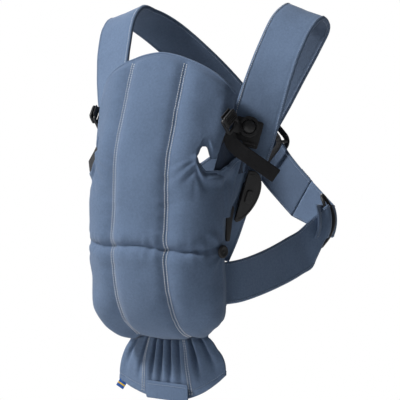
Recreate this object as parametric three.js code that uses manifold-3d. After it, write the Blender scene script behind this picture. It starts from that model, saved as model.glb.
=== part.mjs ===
// Soft baby carrier: a padded front panel with a folding head support, carried by a harness whose
// straps cross on the wearer's back and join two waist belts at a ring on each side.
//
// Millimetres, +Z up. -Y is the front, where the baby hangs, and +Y is the wearer's back.
// +X is the wearer's left, so "left" and "right" in the names are the wearer's.
// The origin lies midway between the crowns of the two shoulder loops.

import * as THREE from 'three';
import { mergeVertices } from 'three/addons/utils/BufferGeometryUtils.js';
import Module from 'manifold-3d';

const wasm = await Module();
wasm.setup();

// ---------------------------------------------------------------- driving dimensions

const STRAP_WIDTH = 65;
const STRAP_THICKNESS = 5.5;
const BELT_WIDTH = 60;
const BELT_THICKNESS = 3;
const WEBBING_WIDTH = 20;
const WEBBING_THICKNESS = 1.6;

const SEAM_X = 43; // the two long seams run this far either side of the middle
const SEAM_GAP = 0.7;
const LAYER_GAP = 0.4;
const OUTER_CLOTH = 2.4;
const PADDING = 4.4;
const LINING_CLOTH = 1.6;

const FOLD_HEIGHT = -191; // where the head support folds forward
const WAIST_SEAM_HEIGHT = -318;
const SEAT_END_HEIGHT = -452;
const FOLD_ANGLE = 0.85; // how far round the panel the fold line reaches, in radians
const SECTION_POWER = 0.9; // below 1 flattens the middle of the panel's section

const DOME_RADIUS = 9;
const LEG_BUTTON_RADIUS = 9;
const RING_LENGTH = 80;
const RING_WIDTH = 31;
const RING_BAR = 5;
const RING_BOW = 13;
const RING_SPINE = { width: 8, thickness: 5, lift: 7 }; // the middle bar stands out from the frame
const RING_PLAY = 1.7; // room for the ring to rock inside the straps' loops
const LOOP_THICKNESS = 3;
const LOOP_COLUMNS = 4;
const LOOP_WIDTH = 48; // the straps narrow to this where they turn round the ring

const BUCKLE_HEIGHT = -158; // where the button plate sits on the shoulder strap
const CLASP_HEIGHT = -246; // where the side clasp sits on the shoulder strap
const CROSSING = { y: 115, z: -188 }; // where the straps cross on the back
const CLIP = { halfWidth: 54, above: 58, below: 66 };
const CLIP_THICKNESS = 3;
const CROSSING_SHIFT = 5; // each strap moves this far off the middle where they cross

// The panel from the head down to the seat, measured on its middle line: how far forward its face is,
// its half width, how far its sides wrap back, and how much the sides lift above the middle.
const PANEL_PROFILE = [
  { height: -54, front: -143.5, halfWidth: 108, wrap: 50, lift: 0 },
  { height: -104, front: -165, halfWidth: 108, wrap: 50, lift: 0 },
  { height: -150, front: -181.5, halfWidth: 107, wrap: 53, lift: 0 },
  { height: -196, front: -196.5, halfWidth: 105, wrap: 58, lift: 0 },
  { height: -253, front: -200.5, halfWidth: 107, wrap: 60, lift: 0 },
  { height: -318, front: -203, halfWidth: 105, wrap: 60, lift: 0 },
  { height: -363, front: -200.5, halfWidth: 106, wrap: 60, lift: 0 },
  { height: -398, front: -191, halfWidth: 103, wrap: 56, lift: 2 },
  { height: -425, front: -175, halfWidth: 95, wrap: 48, lift: 6 },
  { height: -443, front: -154, halfWidth: 79, wrap: 32, lift: 10 },
  { height: -453, front: -131, halfWidth: 60, wrap: 14, lift: 8 },
];

// The left strap: up the chest from the harness base, over the shoulder, across the back
// and down to the loop that holds the right ring.
const STRAP_PATH = [
  { at: [66, -111, -337], across: [0.75, 0.66, 0], width: 46 },
  { at: [78, -110, -308], across: [0.6, 0.8, 0], width: 52 },
  { at: [94, -109, -262], across: [0.5, 0.86, 0], width: 58 },
  { at: [108, -106, -215], across: [0.58, 0.81, 0], width: 64 },
  { at: [119, -99, -170], across: [0.78, 0.6, -0.25], width: STRAP_WIDTH },
  { at: [126, -86, -125], across: [0.88, 0.42, -0.2], width: STRAP_WIDTH },
  { at: [132, -72, -86], across: [0.95, 0.22, -0.2], width: STRAP_WIDTH },
  { at: [139, -56, -48], across: [0.96, 0.1, -0.25], width: STRAP_WIDTH },
  { at: [146, -33, -12], across: [0.95, 0.04, -0.3], width: STRAP_WIDTH },
  { at: [149, -4, 3], across: [0.95, 0, -0.31], width: STRAP_WIDTH },
  { at: [142, 26, -6], across: [0.92, 0.12, -0.38], width: STRAP_WIDTH },
  { at: [117, 54, -30], across: [0.82, 0.14, -0.56], width: STRAP_WIDTH },
  { at: [75, 84, -77], across: [0.8, 0.05, -0.6], width: STRAP_WIDTH },
  { at: [43, 103, -119], across: [0.79, 0, -0.61], width: STRAP_WIDTH, crossing: 0.7 },
  { at: [15, 113, -156], across: [0.8, 0, -0.6], width: STRAP_WIDTH, crossing: 1 },
  { at: [-6, CROSSING.y, CROSSING.z], across: [0.78, 0, -0.62], width: STRAP_WIDTH, crossing: 1 },
  { at: [-33, 112, -224], across: [0.66, 0, -0.75], width: STRAP_WIDTH, crossing: 1 },
  { at: [-64, 103, -249], across: [0.6, 0.05, -0.8], width: STRAP_WIDTH, crossing: 0.5 },
  { at: [-95, 92, -270], across: [0.62, 0.1, -0.77], width: STRAP_WIDTH },
];

// The left belt: from the harness base round the waist to the left ring.
const BELT_PATH = [
  { at: [81, -112, -373], across: [-0.04, 0.05, -1], width: BELT_WIDTH },
  { at: [98, -95, -370], across: [-0.03, 0, -1], width: BELT_WIDTH },
  { at: [112, -62, -363], across: [-0.02, -0.1, -1], width: BELT_WIDTH },
  { at: [126, -20, -351], across: [0, -0.2, -1], width: BELT_WIDTH },
  { at: [141, 18, -335], across: [0, -0.3, -1], width: 58 },
];

// ---------------------------------------------------------------- materials

const CLOTH_LIGHT = new THREE.MeshStandardMaterial({ color: 0x66799b, roughness: 0.95, metalness: 0 });
const CLOTH_STRAP = new THREE.MeshStandardMaterial({ color: 0x5d7092, roughness: 0.95, metalness: 0 });
const CLOTH_LINING = new THREE.MeshStandardMaterial({ color: 0x33405a, roughness: 0.97, metalness: 0 });
const FOAM = new THREE.MeshStandardMaterial({ color: 0xd8d8d4, roughness: 0.9, metalness: 0 });
const BLACK_PLASTIC = new THREE.MeshStandardMaterial({ color: 0x1c1c1d, roughness: 0.5, metalness: 0 });
const BLACK_WEBBING = new THREE.MeshStandardMaterial({ color: 0x222222, roughness: 0.9, metalness: 0 });
const TAG_CLOTH = new THREE.MeshStandardMaterial({ color: 0x24509a, roughness: 0.8, metalness: 0 });

// ---------------------------------------------------------------- geometry helpers

const vector = (values) => new THREE.Vector3(values[0], values[1], values[2]);

function mix(a, b, t) {
  return a + (b - a) * t;
}

function clamp01(t) {
  return Math.min(1, Math.max(0, t));
}

function smooth(t) {
  const s = clamp01(t);
  return s * s * (3 - 2 * s);
}

function signedVolume(geometry) {
  const p = geometry.getAttribute('position');
  const index = geometry.getIndex();
  const a = new THREE.Vector3();
  const b = new THREE.Vector3();
  const c = new THREE.Vector3();
  let volume = 0;
  for (let i = 0; i < index.count; i += 3) {
    a.fromBufferAttribute(p, index.getX(i));
    b.fromBufferAttribute(p, index.getX(i + 1));
    c.fromBufferAttribute(p, index.getX(i + 2));
    volume += a.dot(b.cross(c)) / 6;
  }
  return volume;
}

// Joins shared vertices, drops flat triangles and turns the faces outward.
function closed(source) {
  const bare = source.clone();
  bare.deleteAttribute('normal');
  bare.deleteAttribute('uv');
  const merged = mergeVertices(bare, 1e-4);
  const index = merged.getIndex();
  const kept = [];
  for (let i = 0; i < index.count; i += 3) {
    const corner = [index.getX(i), index.getX(i + 1), index.getX(i + 2)];
    if (new Set(corner).size === 3) {
      kept.push(...corner);
    }
  }
  merged.setIndex(kept);
  if (signedVolume(merged) < 0) {
    for (let i = 0; i < kept.length; i += 3) {
      [kept[i + 1], kept[i + 2]] = [kept[i + 2], kept[i + 1]];
    }
    merged.setIndex(kept);
  }
  return merged;
}

function mirrored(geometry) {
  const copy = geometry.clone();
  copy.applyMatrix4(new THREE.Matrix4().makeScale(-1, 1, 1));
  return closed(copy);
}

// A closed skin between two grids of points, each indexed [row][column].
function shellBetween(outer, inner) {
  const rows = outer.length;
  const columns = outer[0].length;
  const around = columns * 2;
  const positions = [];
  for (let r = 0; r < rows; r += 1) {
    const loop = [...outer[r], ...[...inner[r]].reverse()];
    loop.forEach((point) => positions.push(point.x, point.y, point.z));
  }
  const faces = [];
  const quad = (a, b, c, d) => faces.push(a, b, c, a, c, d);
  for (let r = 0; r < rows - 1; r += 1) {
    for (let k = 0; k < around; k += 1) {
      const corners = [[r, k], [r, k + 1], [r + 1, k + 1], [r + 1, k]].map(([row, column]) => (
        row * around + (column % around)
      ));
      // The inner face is split along the same diagonals as the outer, so stacked layers stay apart.
      const shift = k < columns ? 0 : 1;
      quad(...corners.slice(shift), ...corners.slice(0, shift));
    }
  }
  const last = (rows - 1) * around;
  for (let k = 0; k < columns - 1; k += 1) {
    const back = around - 1 - k;
    quad(k, back, back - 1, k + 1);
    quad(last + k, last + k + 1, last + back - 1, last + back);
  }
  const geometry = new THREE.BufferGeometry();
  geometry.setAttribute('position', new THREE.Float32BufferAttribute(positions, 3));
  geometry.setIndex(faces);
  return closed(geometry);
}

// A rod of any convex section along a chain of frames; a looped chain closes on itself.
function sweep(frames, section, looped) {
  const positions = [];
  frames.forEach(({ origin, side, up }) => {
    section.forEach(([s, u]) => {
      const point = origin.clone().addScaledVector(side, s).addScaledVector(up, u);
      positions.push(point.x, point.y, point.z);
    });
  });
  const around = section.length;
  const faces = [];
  const spans = looped ? frames.length : frames.length - 1;
  for (let i = 0; i < spans; i += 1) {
    const next = (i + 1) % frames.length;
    for (let k = 0; k < around; k += 1) {
      const a = i * around + k;
      const b = i * around + ((k + 1) % around);
      const c = next * around + ((k + 1) % around);
      const d = next * around + k;
      faces.push(a, b, c, a, c, d);
    }
  }
  if (!looped) {
    const last = (frames.length - 1) * around;
    for (let k = 1; k < around - 1; k += 1) {
      faces.push(0, k + 1, k, last, last + k, last + k + 1);
    }
  }
  const geometry = new THREE.BufferGeometry();
  geometry.setAttribute('position', new THREE.Float32BufferAttribute(positions, 3));
  geometry.setIndex(faces);
  return closed(geometry);
}

function roundedRect(x0, y0, x1, y1, radius) {
  const shape = new THREE.Shape();
  shape.moveTo(x0 + radius, y0);
  shape.lineTo(x1 - radius, y0);
  shape.absarc(x1 - radius, y0 + radius, radius, -Math.PI / 2, 0);
  shape.lineTo(x1, y1 - radius);
  shape.absarc(x1 - radius, y1 - radius, radius, 0, Math.PI / 2);
  shape.lineTo(x0 + radius, y1);
  shape.absarc(x0 + radius, y1 - radius, radius, Math.PI / 2, Math.PI);
  shape.lineTo(x0, y0 + radius);
  shape.absarc(x0 + radius, y0 + radius, radius, Math.PI, Math.PI * 1.5);
  return shape;
}

// A flat plate from a shape, between two levels of local z, with its rims bevelled.
function plate(shape, bottom, top, bevel, curveSegments = 2) {
  const geometry = new THREE.ExtrudeGeometry(shape, {
    depth: top - bottom - 2 * bevel,
    bevelEnabled: bevel > 0,
    bevelThickness: bevel,
    bevelSize: bevel,
    bevelOffset: -bevel,
    bevelSegments: 1,
    curveSegments,
  });
  geometry.translate(0, 0, bottom + bevel);
  return closed(geometry);
}

// A turned piece about local z; the profile lists [radius, z] and starts and ends on the axis.
function turned(profile, segments) {
  const points = profile.map(([radius, height]) => new THREE.Vector2(radius, height));
  const geometry = new THREE.LatheGeometry(points, segments);
  geometry.rotateX(Math.PI / 2);
  return closed(geometry);
}

function toManifold(geometry) {
  const source = closed(geometry);
  return new wasm.Manifold(new wasm.Mesh({
    numProp: 3,
    vertProperties: new Float32Array(source.getAttribute('position').array),
    triVerts: new Uint32Array(source.getIndex().array),
  }));
}

function fromManifold(body) {
  const mesh = body.getMesh();
  const geometry = new THREE.BufferGeometry();
  geometry.setAttribute('position', new THREE.Float32BufferAttribute(mesh.vertProperties, 3));
  geometry.setIndex([...mesh.triVerts]);
  return closed(geometry);
}

function joined(...geometries) {
  return fromManifold(geometries.map(toManifold).reduce((a, b) => a.add(b)));
}

// ---------------------------------------------------------------- scene helpers

const carrier = new THREE.Group();

function addMesh(parent, name, geometry, material) {
  const mesh = new THREE.Mesh(geometry, material);
  mesh.name = name;
  parent.add(mesh);
  return mesh;
}

// Adds the same cloth piece on both sides, the right one as a mirror image.
function addClothPair(name, geometry, material) {
  addMesh(carrier, `${name}_left`, geometry, material);
  addMesh(carrier, `${name}_right`, mirrored(geometry), material);
}

// A group whose local x, y and z lie along a frame's across, up and out directions.
function groupAt(frame, side) {
  const flip = new THREE.Vector3(side, 1, 1);
  const across = frame.across.clone().multiply(flip).multiplyScalar(side);
  const up = frame.up.clone().multiply(flip);
  const out = frame.out.clone().multiply(flip);
  const group = new THREE.Group();
  group.position.copy(frame.origin).multiply(flip);
  group.quaternion.setFromRotationMatrix(new THREE.Matrix4().makeBasis(across, up, out));
  carrier.add(group);
  return group;
}

// Places rigid pieces on both sides. They are drawn for the left side, in the frame's own axes.
function addRigidPair(frame, pieces) {
  [['left', 1], ['right', -1]].forEach(([word, side]) => {
    const group = groupAt(frame, side);
    pieces.forEach(({ name, geometry, material }) => {
      const shape = side > 0 ? geometry : mirrored(geometry);
      addMesh(group, `${name}_${word}`, shape, material);
    });
  });
}

// ---------------------------------------------------------------- the front panel's surface

// Smoothly reads one column of the panel profile at any height on the middle line.
function profileAt(height, key) {
  const rows = PANEL_PROFILE;
  let i = rows.length - 2;
  while (i > 0 && height > rows[i].height) {
    i -= 1;
  }
  const slope = (k) => {
    const before = rows[Math.max(0, k - 1)];
    const after = rows[Math.min(rows.length - 1, k + 1)];
    return (after[key] - before[key]) / (after.height - before.height);
  };
  const span = rows[i + 1].height - rows[i].height;
  const t = (height - rows[i].height) / span;
  const h00 = 2 * t ** 3 - 3 * t ** 2 + 1;
  const h10 = t ** 3 - 2 * t ** 2 + t;
  const h01 = -2 * t ** 3 + 3 * t ** 2;
  const h11 = t ** 3 - t ** 2;
  const value = h00 * rows[i][key] + h01 * rows[i + 1][key];
  return value + span * (h10 * slope(i) + h11 * slope(i + 1));
}

// A point on the panel's outer face: angle 0 is the middle, a quarter turn is its back edge.
function panelPoint(angle, height) {
  const across = Math.pow(Math.abs(Math.sin(angle)), SECTION_POWER) * Math.sign(angle);
  const back = 1 - Math.pow(Math.max(0, Math.cos(angle)), SECTION_POWER);
  return new THREE.Vector3(
    profileAt(height, 'halfWidth') * across,
    profileAt(height, 'front') + profileAt(height, 'wrap') * back,
    height + profileAt(height, 'lift') * back,
  );
}

function panelNormal(angle, height) {
  const step = 0.02;
  const limit = Math.PI / 2 - 0.002;
  const low = Math.max(-limit, angle - step);
  const high = Math.min(limit, angle + step);
  const alongAngle = panelPoint(high, height).sub(panelPoint(low, height));
  const alongHeight = panelPoint(angle, height + 1).sub(panelPoint(angle, height - 1));
  return alongAngle.cross(alongHeight).normalize();
}

function angleAtX(x, height) {
  const ratio = Math.min(1, Math.abs(x) / profileAt(height, 'halfWidth'));
  return Math.asin(Math.pow(ratio, 1 / SECTION_POWER)) * Math.sign(x);
}

// A grid of points and normals on one level of the panel, between two edge heights. Columns run from
// the right back edge to the left one, with a double column at each long seam.
function panelGrid(low, high, rows) {
  const grid = [];
  for (let r = 0; r <= rows; r += 1) {
    const line = [];
    PANEL_COLUMNS.forEach((column) => {
      const guess = column(FOLD_HEIGHT);
      const height = mix(low(guess), high(guess), r / rows);
      const angle = column(height);
      line.push({ point: panelPoint(angle, height), normal: panelNormal(angle, height) });
    });
    grid.push(line);
  }
  return grid;
}

// One cloth or foam layer over part of a grid, set in from the panel's outer face.
function panelLayer(grid, columns, inset, thickness) {
  const offset = (depth) => grid.map((line) => columns.map((c) => (
    line[c].point.clone().addScaledVector(line[c].normal, -depth)
  )));
  return shellBetween(offset(inset), offset(inset + thickness));
}

// The head support's rounded top edge.
function headTopEdge(angle) {
  return -54 - 58 * Math.pow(1 - Math.cos(angle), 0.75);
}

// The head support's lower edge: the fold, then the upper rim of the armhole. The rim arches up,
// hangs down in a soft lobe and rises again to the buckle at the panel's back edge.
function headLowEdge(angle) {
  const past = Math.abs(angle) - FOLD_ANGLE;
  const arch = 12 * smooth(past / 0.08) * (1 - smooth((past - 0.1) / 0.2));
  const lobe = 7 * smooth((past - 0.15) / 0.22);
  const corner = 82 * Math.pow(clamp01((past - 0.38) / 0.32), 0.6);
  return FOLD_HEIGHT + SEAM_GAP / 2 + arch - lobe + corner;
}

// The chest panel's upper edge: the fold, then the lower rim of the armhole, which sags.
function chestTopEdge(angle) {
  const past = Math.abs(angle) - FOLD_ANGLE;
  const drop = 22 * (1 - (1 - clamp01(past / 0.19)) ** 2);
  const rise = 7.5 * smooth((past - 0.5) / 0.2);
  return FOLD_HEIGHT - SEAM_GAP / 2 - drop + rise;
}

const SIDE_COLUMNS = 7;
const MIDDLE_COLUMNS = 3;
const QUARTER = Math.PI / 2 - 0.01;

// The angle of each grid column as a function of height: right side, middle, left side.
const PANEL_COLUMNS = [];
const OUTER_OF_SEAM = SEAM_X + SEAM_GAP / 2;
const INNER_OF_SEAM = SEAM_X - SEAM_GAP / 2;
for (let c = SIDE_COLUMNS; c >= 0; c -= 1) {
  PANEL_COLUMNS.push((height) => -mix(angleAtX(OUTER_OF_SEAM, height), QUARTER, c / SIDE_COLUMNS));
}
for (let c = 0; c <= MIDDLE_COLUMNS; c += 1) {
  const x = mix(-1, 1, c / MIDDLE_COLUMNS) * INNER_OF_SEAM;
  PANEL_COLUMNS.push((height) => angleAtX(x, height));
}
for (let c = 0; c <= SIDE_COLUMNS; c += 1) {
  PANEL_COLUMNS.push((height) => mix(angleAtX(OUTER_OF_SEAM, height), QUARTER, c / SIDE_COLUMNS));
}

// The three sewn layers of one level of the panel: outer cloth in three widths, padding and lining.
function addPanelLevel(name, low, high, rows) {
  const grid = panelGrid(low, high, rows);
  const all = PANEL_COLUMNS.map((_, i) => i);
  const right = all.slice(0, SIDE_COLUMNS + 1);
  const middle = all.slice(SIDE_COLUMNS + 1, SIDE_COLUMNS + 2 + MIDDLE_COLUMNS);
  const left = all.slice(SIDE_COLUMNS + 2 + MIDDLE_COLUMNS);
  addMesh(carrier, `${name}_center`, panelLayer(grid, middle, 0, OUTER_CLOTH), CLOTH_LIGHT);
  addMesh(carrier, `${name}_side_left`, panelLayer(grid, left, 0, OUTER_CLOTH), CLOTH_LIGHT);
  addMesh(carrier, `${name}_side_right`, panelLayer(grid, right, 0, OUTER_CLOTH), CLOTH_LIGHT);

  const whole = [...right, ...middle.slice(1, -1), ...left];
  const padded = whole.slice(1, -1);
  const padInset = OUTER_CLOTH + LAYER_GAP;
  const liningInset = padInset + PADDING + LAYER_GAP;
  addMesh(carrier, `${name}_padding`, panelLayer(grid.slice(1, -1), padded, padInset, PADDING), FOAM);
  addMesh(carrier, `${name}_lining`, panelLayer(grid, whole, liningInset, LINING_CLOTH), CLOTH_LINING);
}

// ---------------------------------------------------------------- straps and belts

// Smooth centre line, width direction and width of a flat strap, from 0 to 1 along it.
function ribbonCurves(path) {
  return {
    centre: new THREE.CatmullRomCurve3(path.map((p) => vector(p.at)), false, 'centripetal'),
    across: new THREE.CatmullRomCurve3(path.map((p) => vector(p.across).normalize())),
    width: new THREE.CatmullRomCurve3(path.map((p) => new THREE.Vector3(p.width, 0, 0))),
  };
}

function ribbonFrame(curves, t) {
  const tangent = curves.centre.getTangent(t);
  const across = curves.across.getPoint(t);
  across.addScaledVector(tangent, -across.dot(tangent)).normalize();
  const out = across.clone().cross(tangent).normalize();
  const width = curves.width.getPoint(t).x;
  return { origin: curves.centre.getPoint(t), across, up: tangent, out, width };
}

// A cloth sheet of even thickness whose middle surface is a grid of points, [row][column].
function sheet(grid, thickness) {
  const outer = [];
  const inner = [];
  grid.forEach((line, r) => {
    const before = grid[Math.max(0, r - 1)];
    const after = grid[Math.min(grid.length - 1, r + 1)];
    const normals = line.map((point, c) => {
      const alongRow = line[Math.min(line.length - 1, c + 1)].clone().sub(line[Math.max(0, c - 1)]);
      return alongRow.cross(after[c].clone().sub(before[c])).normalize();
    });
    outer.push(line.map((point, c) => point.clone().addScaledVector(normals[c], thickness / 2)));
    inner.push(line.map((point, c) => point.clone().addScaledVector(normals[c], -thickness / 2)));
  });
  return shellBetween(outer, inner);
}

function ribbonLine(frame, columns) {
  const line = [];
  for (let c = 0; c <= columns; c += 1) {
    line.push(frame.origin.clone().addScaledVector(frame.across, (c / columns - 0.5) * frame.width));
  }
  return line;
}

function ribbonGrid(path, steps, columns) {
  const curves = ribbonCurves(path);
  const grid = [];
  for (let i = 0; i <= steps; i += 1) {
    grid.push(ribbonLine(ribbonFrame(curves, i / steps), columns));
  }
  return grid;
}

function ribbon(path, thickness, steps) {
  return sheet(ribbonGrid(path, steps, 2), thickness);
}

// The strap path with its two straps kept apart where they cross.
function strapPath(shift) {
  return STRAP_PATH.map((p) => ({
    ...p,
    at: [p.at[0], p.at[1] + shift * (p.crossing ?? 0), p.at[2]],
  }));
}

// The frame of the left strap's front run at a height: out points away from the wearer.
function strapFrameAt(height) {
  const curves = ribbonCurves(STRAP_PATH);
  const front = 0.5;
  const steps = 400;
  for (let i = 0; i < steps; i += 1) {
    const t = (front * i) / steps;
    if (curves.centre.getPoint(t).z >= height) {
      return ribbonFrame(curves, t);
    }
  }
  return ribbonFrame(curves, front);
}

// ---------------------------------------------------------------- side ring

// The ring's frame: x runs round the waist towards the back, y up the ring, z out from the wearer.
function ringFrame() {
  const out = new THREE.Vector3(0.97, 0.25, 0).normalize();
  const up = new THREE.Vector3(-0.02, 0.08, 1);
  up.addScaledVector(out, -up.dot(out)).normalize();
  const across = up.clone().cross(out).normalize();
  return { origin: new THREE.Vector3(158, 58.5, -297), across, up, out };
}

function ringDepth(y) {
  return -RING_BOW * (y / (RING_LENGTH / 2)) ** 2;
}

// A rectangle with its corners cut off, centred on the origin, as a section for sweep.
function bevelledSection(width, thickness) {
  const cutOff = 0.8;
  const x = width / 2;
  const y = thickness / 2;
  return [[-x, -y + cutOff], [-x + cutOff, -y], [x - cutOff, -y], [x, -y + cutOff],
    [x, y - cutOff], [x - cutOff, y], [-x + cutOff, y], [-x, y - cutOff]];
}

// A bowed frame with straight sides and round ends, one slot for each strap and a proud middle bar.
function ringGeometry() {
  const straight = (RING_LENGTH - RING_WIDTH) / 2;
  const wide = (RING_WIDTH - RING_BAR) / 2;
  const up = new THREE.Vector3(0, 0, 1);
  const frames = [];
  const addFrame = (x, y, angle) => {
    const side = new THREE.Vector3(Math.cos(angle), Math.sin(angle), 0);
    frames.push({ origin: new THREE.Vector3(x, y, ringDepth(y)), side, up });
  };
  const arcSteps = 5;
  const sideSteps = 3;
  [1, -1].forEach((end) => {
    const turn = end > 0 ? 0 : Math.PI;
    for (let i = 1; i < sideSteps; i += 1) {
      addFrame(end * wide, end * mix(-straight, straight, i / sideSteps), turn);
    }
    for (let i = 0; i <= arcSteps; i += 1) {
      const angle = turn + (Math.PI * i) / arcSteps;
      addFrame(wide * Math.cos(angle), end * straight + wide * Math.sin(angle), angle);
    }
  });
  const reach = straight + wide;
  const barSteps = 8;
  const barFrames = [];
  for (let i = 0; i <= barSteps; i += 1) {
    const y = mix(-reach, reach, i / barSteps);
    const lift = RING_SPINE.lift * (1 - (y / reach) ** 2);
    const origin = new THREE.Vector3(0, y, ringDepth(y) + lift);
    barFrames.push({ origin, side: new THREE.Vector3(1, 0, 0), up });
  }
  const spine = sweep(barFrames, bevelledSection(RING_SPINE.width, RING_SPINE.thickness), false);
  return joined(sweep(frames, bevelledSection(RING_BAR, RING_BAR - 0.6), true), spine);
}

// The lines of points by which a strap end turns round one of the ring's side bars and comes back
// on the inner side. Toward is 1 for the rear bar and -1 for the front one; flip reverses each line.
function ringTurn(frame, toward, width, returnLength, flip) {
  const radius = RING_BAR / 2 + LOOP_THICKNESS / 2 + RING_PLAY;
  const barX = toward * ((RING_WIDTH - RING_BAR) / 2);
  const columns = LOOP_COLUMNS;
  const lineAt = (x, z) => {
    const line = [];
    for (let c = 0; c <= columns; c += 1) {
      const y = mix(-0.5, 0.5, flip ? 1 - c / columns : c / columns) * width;
      line.push(frame.origin.clone()
        .addScaledVector(frame.across, x)
        .addScaledVector(frame.up, y)
        .addScaledVector(frame.out, z + ringDepth(y)));
    }
    return line;
  };
  const lines = [lineAt(barX + toward * 7, radius)];
  const turns = 4;
  for (let k = 0; k <= turns; k += 1) {
    const angle = (Math.PI * k) / turns;
    lines.push(lineAt(barX - toward * radius * Math.sin(angle), radius * Math.cos(angle)));
  }
  lines.push(lineAt(barX + toward * returnLength * 0.5, -radius));
  lines.push(lineAt(barX + toward * returnLength, -radius));
  return lines;
}

// Extra lines of points between two lines, so that a sheet passes smoothly from one to the other.
function linesBetween(first, last, count) {
  const lines = [];
  for (let i = 1; i <= count; i += 1) {
    const t = i / (count + 1);
    lines.push(first.map((point, c) => point.clone().lerp(last[c], t)));
  }
  return lines;
}

// ---------------------------------------------------------------- front panel pieces

function addFrontPanel() {
  addPanelLevel('head_support', headLowEdge, headTopEdge, 5);
  addPanelLevel('chest_panel', () => WAIST_SEAM_HEIGHT + SEAM_GAP / 2, chestTopEdge, 4);
  addPanelLevel('seat_panel', () => SEAT_END_HEIGHT, () => WAIST_SEAM_HEIGHT - SEAM_GAP / 2, 6);
}

// The wing that carries the chest panel's side back to the clasp, tapering away below it.
function addArmWings() {
  const lowEnd = -276;
  const taperStart = -240;
  const topFront = -206;
  const topBack = -187;
  const rows = 6;
  const columns = 3;
  const grid = [];
  for (let r = 0; r <= rows; r += 1) {
    const line = [];
    for (let c = 0; c <= columns; c += 1) {
      const u = c / columns;
      const height = mix(lowEnd, mix(topFront, topBack, Math.pow(u, 0.7)), r / rows);
      const edge = panelPoint(QUARTER, Math.min(height, topFront)).add(new THREE.Vector3(-1.4, 1.4, 0));
      const strap = strapFrameAt(height);
      const clasp = strap.origin.clone().addScaledVector(strap.across, 1).addScaledVector(strap.out, 7);
      const stub = edge.clone().add(new THREE.Vector3(0, 5, 0));
      const end = stub.lerp(clasp, smooth((height - lowEnd) / (taperStart - lowEnd)));
      const point = edge.lerp(end, u);
      line.push(new THREE.Vector3(point.x, point.y, height));
    }
    grid.push(line);
  }
  addClothPair('arm_wing', sheet(grid, 2.8), CLOTH_LIGHT);
}

// The panel between the seat's end and the harness base, which the baby sits astride.
function addCrotchPanel() {
  const halfWidth = 50;
  const outer = [];
  const inner = [];
  const columns = 4;
  const rows = 4;
  for (let r = 0; r <= rows; r += 1) {
    const t = r / rows;
    const line = [];
    for (let c = 0; c <= columns; c += 1) {
      const x = mix(-halfWidth, halfWidth, c / columns);
      line.push(new THREE.Vector3(x, mix(-124, -115, Math.sqrt(t)), mix(-441, -411, t)));
    }
    outer.push(line);
    inner.push(line.map((point) => point.clone().add(new THREE.Vector3(0, 4.5, 0))));
  }
  addMesh(carrier, 'crotch_panel', shellBetween(outer, inner), CLOTH_LINING);
}

// The gathered apron that hangs below the seat, with its hem tab and woven tag.
const APRON_TOP = -455.5;
const APRON_HEM = -543;
const APRON_Y = -122;

function apronPoint(u, t) {
  const halfWidth = mix(58, 88, Math.pow(t, 0.8));
  const x = mix(-halfWidth, halfWidth, u);
  const fromMiddle = Math.abs(2 * u - 1);
  const hem = APRON_HEM + 27 * Math.pow(fromMiddle, 2.2);
  return new THREE.Vector3(x, APRON_Y - 5 + 13 * fromMiddle ** 2, mix(APRON_TOP, hem, t));
}

function addApron() {
  const thickness = new THREE.Vector3(0, 7, 0);
  const columns = 12;
  const rows = 5;
  const outer = [];
  const inner = [];
  for (let r = rows; r >= 0; r -= 1) {
    const line = [];
    for (let c = 0; c <= columns; c += 1) {
      line.push(apronPoint(c / columns, r / rows));
    }
    outer.push(line);
    inner.push(line.map((point) => point.clone().add(thickness)));
  }
  addMesh(carrier, 'apron', shellBetween(outer, inner), CLOTH_LIGHT);

  const tab = roundedRect(-30, APRON_HEM + 2, 30, APRON_HEM + 26, 3);
  const tabGeometry = plate(tab, 0, 2, 0.5);
  tabGeometry.rotateX(Math.PI / 2);
  const tabMesh = addMesh(carrier, 'apron_tab', tabGeometry, CLOTH_LIGHT);
  tabMesh.position.y = APRON_Y - 5 - 0.7;

  const tag = plate(roundedRect(-6, -8, 6, 4, 0.6), -0.4, 0.4, 0);
  tag.rotateX(Math.PI / 2);
  const tagMesh = addMesh(carrier, 'side_tag', tag, TAG_CLOTH);
  const hemEnd = apronPoint(0.03, 1);
  tagMesh.position.set(hemEnd.x - 1, hemEnd.y + 3.5, hemEnd.z - 8);
  tagMesh.rotation.set(0, 0.75, 0);
}

// ---------------------------------------------------------------- harness pieces

function addHarness() {
  const steps = 34;
  const left = ribbon(strapPath(-CROSSING_SHIFT), STRAP_THICKNESS, steps);
  const right = mirrored(ribbon(strapPath(CROSSING_SHIFT), STRAP_THICKNESS, steps));
  addMesh(carrier, 'shoulder_strap_left', left, CLOTH_STRAP);
  addMesh(carrier, 'shoulder_strap_right', right, CLOTH_STRAP);

  const base = [
    { at: [-79, -112.5, -375], across: [0, 0, -1], width: BELT_WIDTH - 4 },
    { at: [0, -113, -378], across: [0, 0, -1], width: 50 },
    { at: [79, -112.5, -375], across: [0, 0, -1], width: BELT_WIDTH - 4 },
  ];
  addMesh(carrier, 'harness_base', ribbon(base, BELT_THICKNESS, 6), CLOTH_STRAP);
}

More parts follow.
